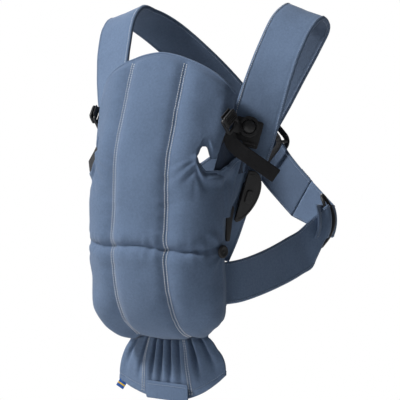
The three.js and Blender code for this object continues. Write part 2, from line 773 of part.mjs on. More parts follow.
function addBeltsAndRings() {
  const frame = ringFrame();
  const strapEnd = ribbonFrame(ribbonCurves(STRAP_PATH), 1);
  strapEnd.origin.addScaledVector(strapEnd.up, 0.8);
  const otherSide = new THREE.Vector3(-1, 1, 1); // each strap ends on the side opposite its shoulder
  const seamLine = ribbonLine(strapEnd, LOOP_COLUMNS).map((point) => point.multiply(otherSide));
  const rearTurn = ringTurn(frame, 1, LOOP_WIDTH, 24, false);
  const loop = [seamLine.reverse(), ...linesBetween(seamLine, rearTurn[0], 3), ...rearTurn];
  addClothPair('ring_loop', sheet(loop, LOOP_THICKNESS), CLOTH_STRAP);

  const beltLines = ribbonGrid(BELT_PATH, 9, LOOP_COLUMNS);
  const frontTurn = ringTurn(frame, -1, LOOP_WIDTH, 40, true);
  const reach = linesBetween(beltLines[beltLines.length - 1], frontTurn[0], 2);
  addClothPair('waist_belt', sheet([...beltLines, ...reach, ...frontTurn], BELT_THICKNESS), CLOTH_STRAP);

  addRigidPair(frame, [{ name: 'strap_ring', geometry: ringGeometry(), material: BLACK_PLASTIC }]);
}

// The clip that holds the two straps where they cross: a diamond frame on each face, pinned together.
function diamond(halfWidth, top, bottom) {
  const corner = 0.16;
  const points = [[0, top], [halfWidth, CROSSING.z], [0, bottom], [-halfWidth, CROSSING.z]];
  const shape = new THREE.Shape();
  points.forEach((point, i) => {
    const before = points[(i + 3) % 4];
    const after = points[(i + 1) % 4];
    const enter = [mix(point[0], before[0], corner), mix(point[1], before[1], corner)];
    const leave = [mix(point[0], after[0], corner), mix(point[1], after[1], corner)];
    if (i === 0) {
      shape.moveTo(enter[0], enter[1]);
    } else {
      shape.lineTo(enter[0], enter[1]);
    }
    shape.quadraticCurveTo(point[0], point[1], leave[0], leave[1]);
  });
  shape.closePath();
  return shape;
}

// How far the clip's faces curve in to follow the back, at a height above its middle.
function clipBow(height) {
  return (height > 0 ? 0.002 : 0.001) * height ** 2;
}

// One face of the clip, bowed to follow the back. NearY is the side that its section starts from.
function clipFace(nearY) {
  const width = 9;
  const outline = diamond(CLIP.halfWidth, CROSSING.z + CLIP.above, CROSSING.z - CLIP.below);
  const points = outline.getSpacedPoints(24).slice(0, -1);
  const half = width / 2;
  const section = [[-half, 0], [-half, CLIP_THICKNESS], [half, CLIP_THICKNESS], [half, 0]];
  const frames = points.map((point, i) => {
    const before = points[(i + points.length - 1) % points.length];
    const after = points[(i + 1) % points.length];
    const side = new THREE.Vector3(before.y - after.y, 0, after.x - before.x).normalize();
    const y = nearY - clipBow(point.y - CROSSING.z);
    return { origin: new THREE.Vector3(point.x, y, point.y), side, up: new THREE.Vector3(0, 1, 0) };
  });
  return sweep(frames, section, true);
}

function addCrossClip() {
  const faceGap = CROSSING_SHIFT + STRAP_THICKNESS / 2 + 3;
  const outerFace = clipFace(CROSSING.y + faceGap);
  const innerFace = clipFace(CROSSING.y - faceGap - CLIP_THICKNESS);
  const sink = 1; // each pin runs this far into the outer face
  const clearance = 0.8;
  const length = 2 * faceGap - clearance + sink;
  const pinPlaces = [[-CLIP.halfWidth + 3.5, 0], [CLIP.halfWidth - 3.5, 0], [0, -CLIP.below + 6]];
  const pins = pinPlaces.map(([x, z]) => {
    const pin = new THREE.CylinderGeometry(2.4, 2.4, length, 10);
    pin.translate(x, CROSSING.y + (sink + clearance) / 2 - clipBow(z), CROSSING.z + z);
    return pin;
  });
  addMesh(carrier, 'cross_clip_outer', joined(outerFace, ...pins), BLACK_PLASTIC);
  addMesh(carrier, 'cross_clip_inner', innerFace, BLACK_PLASTIC);
}

// ---------------------------------------------------------------- head support buckles

// Levels above the shoulder strap's middle surface, and places in the strap's own axes.
const PLATE_BOTTOM = STRAP_THICKNESS / 2 + 3.4;
const PLATE_TOP = PLATE_BOTTOM + 2.6;
const HOOK_BOTTOM = PLATE_TOP + 0.5;
const HOOK_TOP = HOOK_BOTTOM + 4.2;
const DOME_X = -8;
const ADJUSTER = { at: [-36.5, -3, 26.8], lean: 0.77, turn: 0.995 };

// The adjuster leans back to lie along the head support's side, and its webbing points down and out.
function adjusterMatrix() {
  const lean = new THREE.Matrix4().makeRotationY(ADJUSTER.lean);
  const turn = new THREE.Matrix4().makeRotationZ(ADJUSTER.turn);
  return new THREE.Matrix4().makeTranslation(...ADJUSTER.at).multiply(lean).multiply(turn);
}

function buttonPlateGeometry() {
  const left = DOME_X - 19;
  const base = plate(roundedRect(left, -27, left + 38, 11, 2.5), PLATE_BOTTOM, PLATE_TOP, 0.5);
  const ridge = new THREE.BoxGeometry(26, 3, 3.4);
  ridge.translate(DOME_X + 2, -21.5, PLATE_TOP + 1);
  return joined(base, ridge);
}

// The hook plate: a round plate about the dome button, joined by a neck to the adjuster's ladder frame.
function hookPlateGeometry() {
  const round = new THREE.Shape();
  round.absarc(0, 0, 15.5, 0, Math.PI * 2, false);
  const hole = new THREE.Path();
  hole.absarc(0, 0, DOME_RADIUS + 0.9, 0, Math.PI * 2, true);
  round.holes.push(hole);
  const head = plate(round, HOOK_BOTTOM, HOOK_TOP, 0.7, 10);
  head.translate(DOME_X, 0, 0);

  const ladder = roundedRect(-13, -13, 13, 13, 3);
  ladder.holes.push(roundedRect(-9, 1, 9, 9, 1));
  ladder.holes.push(roundedRect(-9, -9, 9, -2, 1));
  const frame = plate(ladder, 0, 4, 0.6);
  frame.applyMatrix4(adjusterMatrix());

  const neck = new THREE.BoxGeometry(16, 15, 3.6);
  neck.applyMatrix4(new THREE.Matrix4().makeRotationY(ADJUSTER.lean));
  neck.translate(ADJUSTER.at[0] + 12, ADJUSTER.at[1] - 3, ADJUSTER.at[2] - 9.4);
  return joined(head, frame, neck);
}

function domeButtonGeometry() {
  const base = HOOK_BOTTOM + 2.2;
  const rim = base + 3;
  const rise = 3.6;
  const steps = 5;
  const profile = [[0, base], [DOME_RADIUS, base], [DOME_RADIUS, rim]];
  for (let k = 1; k < steps; k += 1) {
    const angle = (Math.PI / 2) * (k / steps);
    profile.push([DOME_RADIUS * Math.cos(angle), rim + rise * Math.sin(angle)]);
  }
  profile.push([0, rim + rise]);
  const dome = turned(profile, 20);
  dome.translate(DOME_X, 0, 0);
  return dome;
}

// The ribbed lever that grips the webbing; it hinges on the ladder frame's middle bar.
function leverGeometry() {
  const base = 4.5;
  const body = plate(roundedRect(-12.5, 0, 12.5, 17, 4), base, base + 3.4, 0.7);
  const ribs = [4, 8, 12].map((y) => {
    const rib = new THREE.BoxGeometry(18, 1.5, 1.6);
    rib.translate(0, y, base + 3.6);
    return rib;
  });
  const lever = joined(body, ...ribs);
  lever.applyMatrix4(adjusterMatrix());
  return lever;
}

// The free end of the webbing, below the ladder frame, in the strap's axes.
function tailGeometry() {
  const points = [
    { at: [-36.6, -21.8, 23.4], across: [0.8, 0.35, -0.5] },
    { at: [-29.5, -28, 21.2], across: [0.8, 0.55, -0.25] },
    { at: [-16.5, -34.5, 18.6], across: [0.6, 0.8, 0] },
    { at: [8, -42, 14.5], across: [0.42, 0.9, 0] },
    { at: [46, -55, 12.4], across: [0.38, 0.92, 0] },
  ];
  const path = points.map((point) => ({ ...point, width: WEBBING_WIDTH }));
  return ribbon(path, WEBBING_THICKNESS, 10);
}

// The short webbing that is sewn to the head support and runs under the ladder frame's upper end.
function cornerWebbingGeometry() {
  const path = [16, 21, 26].map((y) => ({ at: [0, y, 1.2], across: [1, 0, 0], width: WEBBING_WIDTH }));
  const strip = ribbon(path, WEBBING_THICKNESS, 3);
  strip.applyMatrix4(adjusterMatrix());
  return strip;
}

function addBuckles() {
  addRigidPair(strapFrameAt(BUCKLE_HEIGHT), [
    { name: 'button_plate', geometry: buttonPlateGeometry(), material: BLACK_PLASTIC },
    { name: 'hook_plate', geometry: hookPlateGeometry(), material: BLACK_PLASTIC },
    { name: 'dome_button', geometry: domeButtonGeometry(), material: BLACK_PLASTIC },
    { name: 'adjuster_lever', geometry: leverGeometry(), material: BLACK_PLASTIC },
    { name: 'webbing_tail', geometry: tailGeometry(), material: BLACK_WEBBING },
    { name: 'corner_webbing', geometry: cornerWebbingGeometry(), material: BLACK_WEBBING },
  ]);
}

// ---------------------------------------------------------------- side clasps and leg buttons

function claspPlateShape() {
  const shape = new THREE.Shape();
  shape.moveTo(4, 36);
  shape.lineTo(14, 37);
  shape.bezierCurveTo(38, 30, 38, -12, 14, -36);
  shape.lineTo(8, -39);
  shape.lineTo(4, -36);
  shape.closePath();
  return shape;
}

function addSideClasps() {
  const frame = strapFrameAt(CLASP_HEIGHT);
  const strapFace = STRAP_THICKNESS / 2 + 1.3;
  const receiver = plate(roundedRect(5, -18, 22, 18, 4), strapFace, strapFace + 4, 0.8);
  const cover = plate(claspPlateShape(), strapFace + 4.5, strapFace + 8.5, 1, 8);
  const tab = plate(roundedRect(10, -9, 20, 9, 3), strapFace + 8.9, strapFace + 11, 0.5);
  const tongue = plate(roundedRect(-5, -14, 5, 12, 3), -1.6, 1.6, 0.5);
  addRigidPair(frame, [
    { name: 'clasp_receiver', geometry: receiver, material: BLACK_PLASTIC },
    { name: 'side_clasp', geometry: cover, material: BLACK_PLASTIC },
    { name: 'clasp_release_tab', geometry: tab, material: BLACK_PLASTIC },
  ]);

  const at = panelPoint(QUARTER, -295).add(new THREE.Vector3(-2.5, 9, 0));
  const tongueFrame = {
    origin: at,
    across: new THREE.Vector3(0, 1, 0),
    up: new THREE.Vector3(0, 0, 1),
    out: new THREE.Vector3(1, 0, 0),
  };
  addRigidPair(tongueFrame, [{ name: 'clasp_tongue', geometry: tongue, material: BLACK_PLASTIC }]);
}

function addLegButtons() {
  const height = -322;
  const angle = 1.44;
  const out = panelNormal(angle, height);
  const up = new THREE.Vector3(0, 0, 1);
  up.addScaledVector(out, -up.dot(out)).normalize();
  const frame = { origin: panelPoint(angle, height), across: up.clone().cross(out), up, out };
  const r = LEG_BUTTON_RADIUS;
  const raisedRim = [[r - 1.5, 0.8], [r, 2], [r, 3.4], [r - 1.5, 4.8], [r - 3, 4.8], [r - 4, 4]];
  const button = turned([[0, 0.8], ...raisedRim, [0, 4]], 24);
  const top = -(OUTER_CLOTH + PADDING + LINING_CLOTH + 3 * LAYER_GAP) - 1;
  const bottom = top - 1.6;
  const backing = turned([[0, bottom], [r - 1, bottom], [r - 1, top], [0, top]], 20);
  addRigidPair(frame, [
    { name: 'leg_button', geometry: button, material: BLACK_PLASTIC },
    { name: 'leg_button_backing', geometry: backing, material: BLACK_PLASTIC },
  ]);
}

// ---------------------------------------------------------------- assembly

addFrontPanel();
addArmWings();
addCrotchPanel();
addApron();
addHarness();
addBeltsAndRings();
addCrossClip();
addBuckles();
addSideClasps();
addLegButtons();

export default carrier;
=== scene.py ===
"""Looks of the soft baby carrier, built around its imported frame.

Lengths and places are millimetres in the frame's own axes: +Z up, -Y to the front, +X to the wearer's
left. piece() turns them into Blender's metres. The panel and strap formulas are those of part.mjs.
"""

import math

import bpy
import numpy as np
from mathutils import Matrix, Vector, noise


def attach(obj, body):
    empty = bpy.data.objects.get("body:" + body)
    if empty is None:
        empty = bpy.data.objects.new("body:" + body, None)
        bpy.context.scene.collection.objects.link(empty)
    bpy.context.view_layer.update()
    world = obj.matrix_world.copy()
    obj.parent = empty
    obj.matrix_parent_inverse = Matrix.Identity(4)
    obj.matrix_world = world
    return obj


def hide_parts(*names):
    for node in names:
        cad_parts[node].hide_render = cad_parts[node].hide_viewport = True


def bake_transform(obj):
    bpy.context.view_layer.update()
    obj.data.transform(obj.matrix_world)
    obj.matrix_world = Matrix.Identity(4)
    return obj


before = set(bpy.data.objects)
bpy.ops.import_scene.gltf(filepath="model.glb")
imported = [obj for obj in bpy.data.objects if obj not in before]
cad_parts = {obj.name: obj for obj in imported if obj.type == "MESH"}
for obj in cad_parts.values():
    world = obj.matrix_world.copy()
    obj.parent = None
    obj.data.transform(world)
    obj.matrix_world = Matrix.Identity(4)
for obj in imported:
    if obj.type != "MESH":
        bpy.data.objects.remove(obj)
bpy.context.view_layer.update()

# ---------------------------------------------------------------- driving dimensions

STRAP_WIDTH = 65
BELT_WIDTH = 60
WEBBING_WIDTH = 20
SEAM_X = 43  # the two long seams run this far either side of the middle
ROW_GAP = 4.4  # between the two stitch rows of a long seam
PANEL_THICKNESS = 9.2
FOLD_HEIGHT = -191
WAIST_HEIGHT = -318
SEAT_END = -452
FOLD_ANGLE = 0.85
SECTION_POWER = 0.9
QUARTER = math.pi / 2 - 0.01
SWELLING_SHARE = 0.55  # how much of the simulated puffing shows through the quilting
BUCKLE_HEIGHT = -158
CLASP_HEIGHT = -246
CROSSING_SHIFT = 5
APRON_TOP = -455.5
APRON_HEM = -543
APRON_Y = -122

# Height on the middle line, then how far forward the face is, half width, wrap and lift.
PANEL_PROFILE = [
    (-54, -143.5, 108, 50, 0),
    (-104, -165, 108, 50, 0),
    (-150, -181.5, 107, 53, 0),
    (-196, -196.5, 105, 58, 0),
    (-253, -200.5, 107, 60, 0),
    (-318, -203, 105, 60, 0),
    (-363, -200.5, 106, 60, 0),
    (-398, -191, 103, 56, 2),
    (-425, -175, 95, 48, 6),
    (-443, -154, 79, 32, 10),
    (-453, -131, 60, 14, 8),
]

# The left strap: place, width direction, width and how far it is shifted at the crossing.
STRAP_PATH = [
    ((66, -111, -337), (0.75, 0.66, 0), 46, 0),
    ((78, -110, -308), (0.6, 0.8, 0), 52, 0),
    ((94, -109, -262), (0.5, 0.86, 0), 58, 0),
    ((108, -106, -215), (0.58, 0.81, 0), 64, 0),
    ((119, -99, -170), (0.78, 0.6, -0.25), STRAP_WIDTH, 0),
    ((126, -86, -125), (0.88, 0.42, -0.2), STRAP_WIDTH, 0),
    ((132, -72, -86), (0.95, 0.22, -0.2), STRAP_WIDTH, 0),
    ((139, -56, -48), (0.96, 0.1, -0.25), STRAP_WIDTH, 0),
    ((146, -33, -12), (0.95, 0.04, -0.3), STRAP_WIDTH, 0),
    ((149, -4, 3), (0.95, 0, -0.31), STRAP_WIDTH, 0),
    ((142, 26, -6), (0.92, 0.12, -0.38), STRAP_WIDTH, 0),
    ((117, 54, -30), (0.82, 0.14, -0.56), STRAP_WIDTH, 0),
    ((75, 84, -77), (0.8, 0.05, -0.6), STRAP_WIDTH, 0),
    ((43, 103, -119), (0.79, 0, -0.61), STRAP_WIDTH, 0.7),
    ((15, 113, -156), (0.8, 0, -0.6), STRAP_WIDTH, 1),
    ((-6, 115, -188), (0.78, 0, -0.62), STRAP_WIDTH, 1),
    ((-33, 112, -224), (0.66, 0, -0.75), STRAP_WIDTH, 1),
    ((-64, 103, -249), (0.6, 0.05, -0.8), STRAP_WIDTH, 0.5),
    ((-95, 92, -270), (0.62, 0.1, -0.77), STRAP_WIDTH, 0),
]

BELT_PATH = [
    ((81, -112, -373), (-0.04, 0.05, -1), BELT_WIDTH, 0),
    ((98, -95, -370), (-0.03, 0, -1), BELT_WIDTH, 0),
    ((112, -62, -363), (-0.02, -0.1, -1), BELT_WIDTH, 0),
    ((126, -20, -351), (0, -0.2, -1), BELT_WIDTH, 0),
    ((141, 18, -335), (0, -0.3, -1), 58, 0),
]

RING = {"length": 80, "width": 31, "bar": 5, "bow": 13, "lift": 7, "play": 1.7, "loop_width": 48}
RING_ORIGIN = (158, 58.5, -297)

# ---------------------------------------------------------------- small maths


def mix(a, b, t):
    return a + (b - a) * t


def smooth(t):
    s = np.clip(t, 0, 1)
    return s * s * (3 - 2 * s)


def bell(distance, width):
    return np.exp(-((distance / width) ** 2))


def unit(v):
    v = np.asarray(v, float)
    return v / np.linalg.norm(v)


def ripple(points, size, seed=0):
    """Smooth noise from -1 to 1 at each point, with features about size millimetres across."""
    flat = np.asarray(points, float).reshape(-1, 3) / size + seed * 7.3
    values = [noise.noise(Vector(p)) for p in flat]
    return np.array(values).reshape(np.shape(points)[:-1])


def catmull(points, t):
    """A centripetal Catmull-Rom curve through points, read at t from 0 to 1."""
    points = [np.asarray(p, float) for p in points]
    last = len(points) - 1
    k = min(int(t * last), last - 1)
    w = t * last - k
    p1, p2 = points[k], points[k + 1]
    p0 = points[k - 1] if k > 0 else 2 * p1 - p2
    p3 = points[k + 2] if k + 2 <= last else 2 * p2 - p1
    d1 = np.linalg.norm(p2 - p1) ** 0.5
    d1 = d1 if d1 > 1e-4 else 1
    d0 = np.linalg.norm(p1 - p0) ** 0.5
    d0 = d0 if d0 > 1e-4 else d1
    d2 = np.linalg.norm(p3 - p2) ** 0.5
    d2 = d2 if d2 > 1e-4 else d1
    m1 = ((p1 - p0) / d0 - (p2 - p0) / (d0 + d1) + (p2 - p1) / d1) * d1
    m2 = ((p2 - p1) / d1 - (p3 - p1) / (d1 + d2) + (p3 - p2) / d2) * d1
    hermite = 2 * w**3 - 3 * w**2 + 1, w**3 - 2 * w**2 + w, -2 * w**3 + 3 * w**2, w**3 - w**2
    return hermite[0] * p1 + hermite[1] * m1 + hermite[2] * p2 + hermite[3] * m2


class Frame:
    """A place with three directions: across, up and out."""

    def __init__(self, origin, across, up, out, width=0):
        self.origin, self.across, self.up, self.out = origin, across, up, out
        self.width = width

    def at(self, points):
        p = np.asarray(points, float)
        return self.origin + p[..., :1] * self.across + p[..., 1:2] * self.up + p[..., 2:3] * self.out


def ribbon_frame(path, t, shift=0):
    """The frame of a flat strap at t from 0 to 1 along it; out points away from the wearer."""
    centres = [np.array(p[0], float) + np.array([0, shift * p[3], 0]) for p in path]
    step = 1e-4
    before, after = max(0, t - step), min(1, t + step)
    tangent = unit(catmull(centres, after) - catmull(centres, before))
    across = catmull([unit(p[1]) for p in path], t)
    across = unit(across - tangent * np.dot(across, tangent))
    width = catmull([(p[2], 0, 0) for p in path], t)[0]
    return Frame(catmull(centres, t), across, tangent, np.cross(across, tangent), width)


def strap_frame_at(height):
    """The frame of the left strap's front run at a height."""
    steps = 400
    centres = [p[0] for p in STRAP_PATH]
    for i in range(steps):
        t = 0.5 * i / steps
        if catmull(centres, t)[2] >= height:
            return ribbon_frame(STRAP_PATH, t)
    return ribbon_frame(STRAP_PATH, 0.5)


# ---------------------------------------------------------------- making pieces

SIDES = (("left", 1), ("right", -1))


def signed_volume(verts, faces):
    total = 0.0
    for face in faces:
        a = verts[face[0]]
        for k in range(1, len(face) - 1):
            total += np.dot(a, np.cross(verts[face[k]], verts[face[k + 1]]))
    return total / 6


def piece(name, verts, faces, materials, body, slot, replaces=(), face_materials=None):
    """A named mesh piece from millimetre points, with its faces turned outward, riding on a body."""
    verts = np.asarray(verts, float).reshape(-1, 3)
    faces = [tuple(f) for f in faces]
    if signed_volume(verts, faces) < 0:
        faces = [f[::-1] for f in faces]
    mesh = bpy.data.meshes.new(name)
    mesh.from_pydata((verts / 1000).tolist(), [], faces)
    for material in materials if isinstance(materials, (list, tuple)) else [materials]:
        mesh.materials.append(material)
    if face_materials is not None:
        mesh.polygons.foreach_set("material_index", np.asarray(face_materials, np.int32))
    mesh.polygons.foreach_set("use_smooth", [True] * len(mesh.polygons))
    mesh.update()
    obj = bpy.data.objects.new(name, mesh)
    bpy.context.scene.collection.objects.link(obj)
    if replaces:
        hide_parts(*replaces)
    if body:
        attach(obj, body)
    return obj


def pair(name, verts, faces, materials, body, slot, replaces=(), face_materials=None):
    """The same piece on both sides. A {} in a body's or replaced node's name becomes left or right."""
    made = []
    for side, sign in SIDES:
        turned = np.asarray(verts, float).reshape(-1, 3) * (sign, 1, 1)
        made.append(piece(
            f"{name}_{side}", turned, faces, materials, body.format(side) if body else None, slot,
            [r.format(side) for r in replaces], face_materials,
        ))
    return made


def smooth_by_angle(obj, degrees=35):
    """Keeps edges sharper than the angle crisp on a hard piece."""
    mesh = obj.data
    limit = math.radians(degrees)
    normals = [p.normal.copy() for p in mesh.polygons]
    meeting = {}
    for p in mesh.polygons:
        for key in p.edge_keys:
            meeting.setdefault(key, []).append(p.index)
    sharp = [False] * len(mesh.edges)
    for e in mesh.edges:
        sides = meeting.get(e.key, [])
        sharp[e.index] = len(sides) == 2 and normals[sides[0]].angle(normals[sides[1]], 0) > limit
    attribute = mesh.attributes.new("sharp_edge", "BOOLEAN", "EDGE")
    attribute.data.foreach_set("value", sharp)


def shell_faces(rows, columns):
    """Faces of a closed skin whose rows are loops: columns points out and columns points back."""
    around = columns * 2
    faces = []
    for r in range(rows - 1):
        for k in range(around):
            n = (k + 1) % around
            faces.append((r * around + k, r * around + n, (r + 1) * around + n, (r + 1) * around + k))
    last = (rows - 1) * around
    for k in range(columns - 1):
        back = around - 1 - k
        faces.append((k, back, back - 1, k + 1))
        faces.append((last + k, last + k + 1, last + back - 1, last + back))
    return faces


def shell(outer, inner):
    """Points and faces of a closed skin between two grids of points, [row, column]."""
    rows, columns = outer.shape[:2]
    verts = np.concatenate([outer, inner[:, ::-1]], axis=1)
    return verts.reshape(-1, 3), shell_faces(rows, columns)


def inner_side(outer):
    """Material numbers for a shell's faces: 0 on the outer side and edges, 1 on the inner side."""
    rows, columns = outer.shape[:2]
    around = [0] * columns + [1] * (columns - 1) + [0]
    return around * (rows - 1) + [0] * (2 * (columns - 1))


def tube(points, section, ups, looped=False):
    """Points and faces of a rod of a section, [side, up] pairs, along points with given up directions."""
    points = np.asarray(points, float)
    count = len(points)
    verts = []
    for i in range(count):
        if looped:
            along = points[(i + 1) % count] - points[i - 1]
        else:
            along = points[min(i + 1, count - 1)] - points[max(i - 1, 0)]
        along = unit(along)
        up = np.asarray(ups[i], float)
        up = unit(up - along * np.dot(up, along))
        side = np.cross(along, up)
        verts += [points[i] + s * side + u * up for s, u in section]
    around = len(section)
    faces = []
    for i in range(count if looped else count - 1):
        j = (i + 1) % count
        for k in range(around):
            n = (k + 1) % around
            faces.append((i * around + k, i * around + n, j * around + n, j * around + k))
    if not looped:
        faces.append(tuple(range(around))[::-1])
        faces.append(tuple((count - 1) * around + k for k in range(around)))
    return np.array(verts), faces


def circle(radius, steps=10, squash=1.0):
    angles = [2 * math.pi * k / steps for k in range(steps)]
    return [(radius * math.cos(a), radius * squash * math.sin(a)) for a in angles]


def joined(*parts):
    """Several (points, faces) parts as one."""
    verts, faces, start = [], [], 0
    for part_verts, part_faces in parts:
        verts.append(np.asarray(part_verts, float).reshape(-1, 3))
        faces += [tuple(start + i for i in f) for f in part_faces]
        start += len(verts[-1])
    return np.concatenate(verts), faces


def grid_normals(points):
    along_row = np.gradient(points, axis=1)
    along_column = np.gradient(points, axis=0)
    normals = np.cross(along_row, along_column)
    lengths = np.linalg.norm(normals, axis=2, keepdims=True)
    return normals / np.maximum(lengths, 1e-9)


# ---------------------------------------------------------------- materials


def node_material(name):
    material = bpy.data.materials.new(name)
    material.use_nodes = True
    nodes, links = material.node_tree.nodes, material.node_tree.links
    return material, nodes, links, nodes["Principled BSDF"]


def add_node(nodes, kind, **values):
    node = nodes.new(kind)
    for key, value in values.items():
        if key in node.inputs:
            node.inputs[key].default_value = value
        else:
            setattr(node, key, value)
    return node


def wave(nodes, links, coordinates, period, direction):
    """A sine wave of a period in metres; direction is the wave texture's bands direction."""
    node = add_node(nodes, "ShaderNodeTexWave", bands_direction=direction)
    node.inputs["Scale"].default_value = 2 * math.pi / (20 * period)
    node.inputs["Distortion"].default_value = 0.6
    node.inputs["Detail"].default_value = 1
    links.new(coordinates, node.inputs["Vector"])
    return node.outputs["Fac"]


def combine(nodes, links, operation, a, b):
    node = add_node(nodes, "ShaderNodeMath", operation=operation)
    for socket, value in zip(node.inputs, (a, b)):
        if isinstance(value, (int, float)):
            socket.default_value = value
        else:
            links.new(value, socket)
    return node.outputs[0]


def cloth_material(name, light, dark, weave, relief, sheen, roughness=0.92):
    """Woven cloth: a fine twill with slubs, mottled tone, and a little fuzz at the rims."""
    material, nodes, links, shader = node_material(name)
    place = add_node(nodes, "ShaderNodeTexCoord").outputs["Object"]
    twill = wave(nodes, links, place, weave, "DIAGONAL")
    slub = add_node(nodes, "ShaderNodeTexNoise", Scale=1100.0, Detail=3.0, Roughness=0.7)
    mottle = add_node(nodes, "ShaderNodeTexNoise", Scale=330.0, Detail=3.0, Roughness=0.65)
    tone = add_node(nodes, "ShaderNodeTexNoise", Scale=16.0, Detail=4.0, Roughness=0.55)
    for texture in (slub, mottle, tone):
        links.new(place, texture.inputs["Vector"])
    threads = combine(nodes, links, "MULTIPLY", twill, slub.outputs["Fac"])
    fuzz = combine(nodes, links, "MULTIPLY", mottle.outputs["Fac"], 1.6)
    height = combine(nodes, links, "ADD", threads, fuzz)
    grain = combine(nodes, links, "MULTIPLY", height, 0.42)
    shade = combine(nodes, links, "ADD", grain, combine(nodes, links, "MULTIPLY", tone.outputs["Fac"], 0.5))
    ramp = add_node(nodes, "ShaderNodeValToRGB")
    ramp.color_ramp.elements[0].position = 0.42
    ramp.color_ramp.elements[0].color = (*dark, 1)
    ramp.color_ramp.elements[1].position = 0.96
    ramp.color_ramp.elements[1].color = (*light, 1)
    links.new(shade, ramp.inputs["Fac"])
    links.new(ramp.outputs["Color"], shader.inputs["Base Color"])
    bump = add_node(nodes, "ShaderNodeBump", Strength=relief, Distance=0.0006)
    links.new(height, bump.inputs["Height"])
    links.new(bump.outputs["Normal"], shader.inputs["Normal"])
    shader.inputs["Roughness"].default_value = roughness
    shader.inputs["Specular IOR Level"].default_value = 0.18
    shader.inputs["Sheen Weight"].default_value = sheen
    shader.inputs["Sheen Roughness"].default_value = 0.5
    return material


def plastic_material():
    """Black moulded plastic with a fine spark-eroded texture and slightly polished high spots."""
    material, nodes, links, shader = node_material("black_plastic")
    place = add_node(nodes, "ShaderNodeTexCoord").outputs["Object"]
    grain = add_node(nodes, "ShaderNodeTexNoise", Scale=1600.0, Detail=2.0)
    wear = add_node(nodes, "ShaderNodeTexNoise", Scale=60.0, Detail=3.0)
    for texture in (grain, wear):
        links.new(place, texture.inputs["Vector"])
    rough = add_node(nodes, "ShaderNodeMapRange")
    rough.inputs["To Min"].default_value = 0.42
    rough.inputs["To Max"].default_value = 0.6
    links.new(wear.outputs["Fac"], rough.inputs["Value"])
    links.new(rough.outputs["Result"], shader.inputs["Roughness"])
    tint = add_node(nodes, "ShaderNodeValToRGB")
    tint.color_ramp.elements[0].color = (0.011, 0.011, 0.012, 1)
    tint.color_ramp.elements[1].color = (0.024, 0.024, 0.026, 1)
    links.new(wear.outputs["Fac"], tint.inputs["Fac"])
    links.new(tint.outputs["Color"], shader.inputs["Base Color"])
    bump = add_node(nodes, "ShaderNodeBump", Strength=0.25, Distance=0.0002)
    links.new(grain.outputs["Fac"], bump.inputs["Height"])
    links.new(bump.outputs["Normal"], shader.inputs["Normal"])
    shader.inputs["Specular IOR Level"].default_value = 0.45
    return material


def thread_material(name, color):
    material, nodes, links, shader = node_material(name)
    place = add_node(nodes, "ShaderNodeTexCoord").outputs["Object"]
    ply = add_node(nodes, "ShaderNodeTexNoise", Scale=2500.0, Detail=2.0)
    links.new(place, ply.inputs["Vector"])
    tint = add_node(nodes, "ShaderNodeValToRGB")
    tint.color_ramp.elements[0].color = (*[c * 0.7 for c in color], 1)
    tint.color_ramp.elements[1].color = (*color, 1)
    links.new(ply.outputs["Fac"], tint.inputs["Fac"])
    links.new(tint.outputs["Color"], shader.inputs["Base Color"])
    shader.inputs["Roughness"].default_value = 0.7
    shader.inputs["Sheen Weight"].default_value = 0.2
    return material


PANEL_CLOTH = cloth_material("panel_cloth", (0.126, 0.182, 0.284), (0.086, 0.126, 0.2), 0.0008, 0.32, 0.12)
STRAP_CLOTH = cloth_material("strap_cloth", (0.15, 0.214, 0.328), (0.105, 0.151, 0.236), 0.0008, 0.32, 0.12)
STRAP_BACK = cloth_material(
    "strap_back_cloth", (0.1, 0.143, 0.222), (0.068, 0.099, 0.156), 0.0008, 0.32, 0.12)
# A lighter copy of the panel cloth with a little more sheen: painted highlight for the head support's rolled
# top edge.
HEM_HIGHLIGHT_CLOTH = cloth_material("hem_highlight_cloth", (0.14, 0.198, 0.305), (0.1, 0.145, 0.226), 0.0008, 0.32, 0.15)
LINING_CLOTH = cloth_material("lining_cloth", (0.045, 0.064, 0.105), (0.026, 0.038, 0.066), 0.002, 0.9, 0.1)
WEBBING = cloth_material("black_webbing", (0.036, 0.036, 0.039), (0.02, 0.02, 0.022), 0.0012, 0.8, 0.1)
ELASTIC = cloth_material("dark_elastic", (0.075, 0.107, 0.17), (0.045, 0.064, 0.105), 0.002, 0.8, 0.1)
TAG_BLUE = cloth_material("tag_blue", (0.03, 0.12, 0.42), (0.02, 0.08, 0.3), 0.001, 0.5, 0.2)
TAG_YELLOW = cloth_material("tag_yellow", (0.85, 0.55, 0.04), (0.65, 0.4, 0.02), 0.001, 0.5, 0.2)
PLASTIC = plastic_material()
PALE_THREAD = thread_material("pale_thread", (0.74, 0.77, 0.82))
BLUE_THREAD = thread_material("blue_thread", (0.3, 0.37, 0.5))

# ---------------------------------------------------------------- stitches


def stitch_shape():
    """One stitch lying along x: a short thread that dips into the cloth at both ends."""
    rings = [(-0.5, 0.3, -0.7), (-0.36, 0.85, 0.1), (0, 1, 0.35), (0.36, 0.85, 0.1), (0.5, 0.3, -0.7)]
    around = 6
    verts = []
    for x, radius, lift in rings:
        for k in range(around):
            a = 2 * math.pi * k / around
            verts.append((x, radius * math.cos(a), radius * math.sin(a) + lift))
    faces = []
    for r in range(len(rings) - 1):
        for k in range(around):
            n = (k + 1) % around
            faces.append((r * around + k, (r + 1) * around + k, (r + 1) * around + n, r * around + n))
    last = (len(rings) - 1) * around
    faces.append(tuple(range(around)))
    faces.append(tuple(last + k for k in range(around))[::-1])
    return np.array(verts), faces


STITCH = stitch_shape()


# Stitch sizes: the pitch along the line, the thread's length and its radius, in millimetres.
SEAM_STITCH = (3.4, 2.2, 0.68)
STRAP_STITCH = (2.9, 1.9, 0.4)
BELT_STITCH = (3.2, 2.3, 0.36)
APRON_STITCH = (3.6, 2.2, 0.6)
HEM_STITCH = (3.2, 2.2, 0.4)
TAB_STITCH = (3.0, 2.2, 0.4)


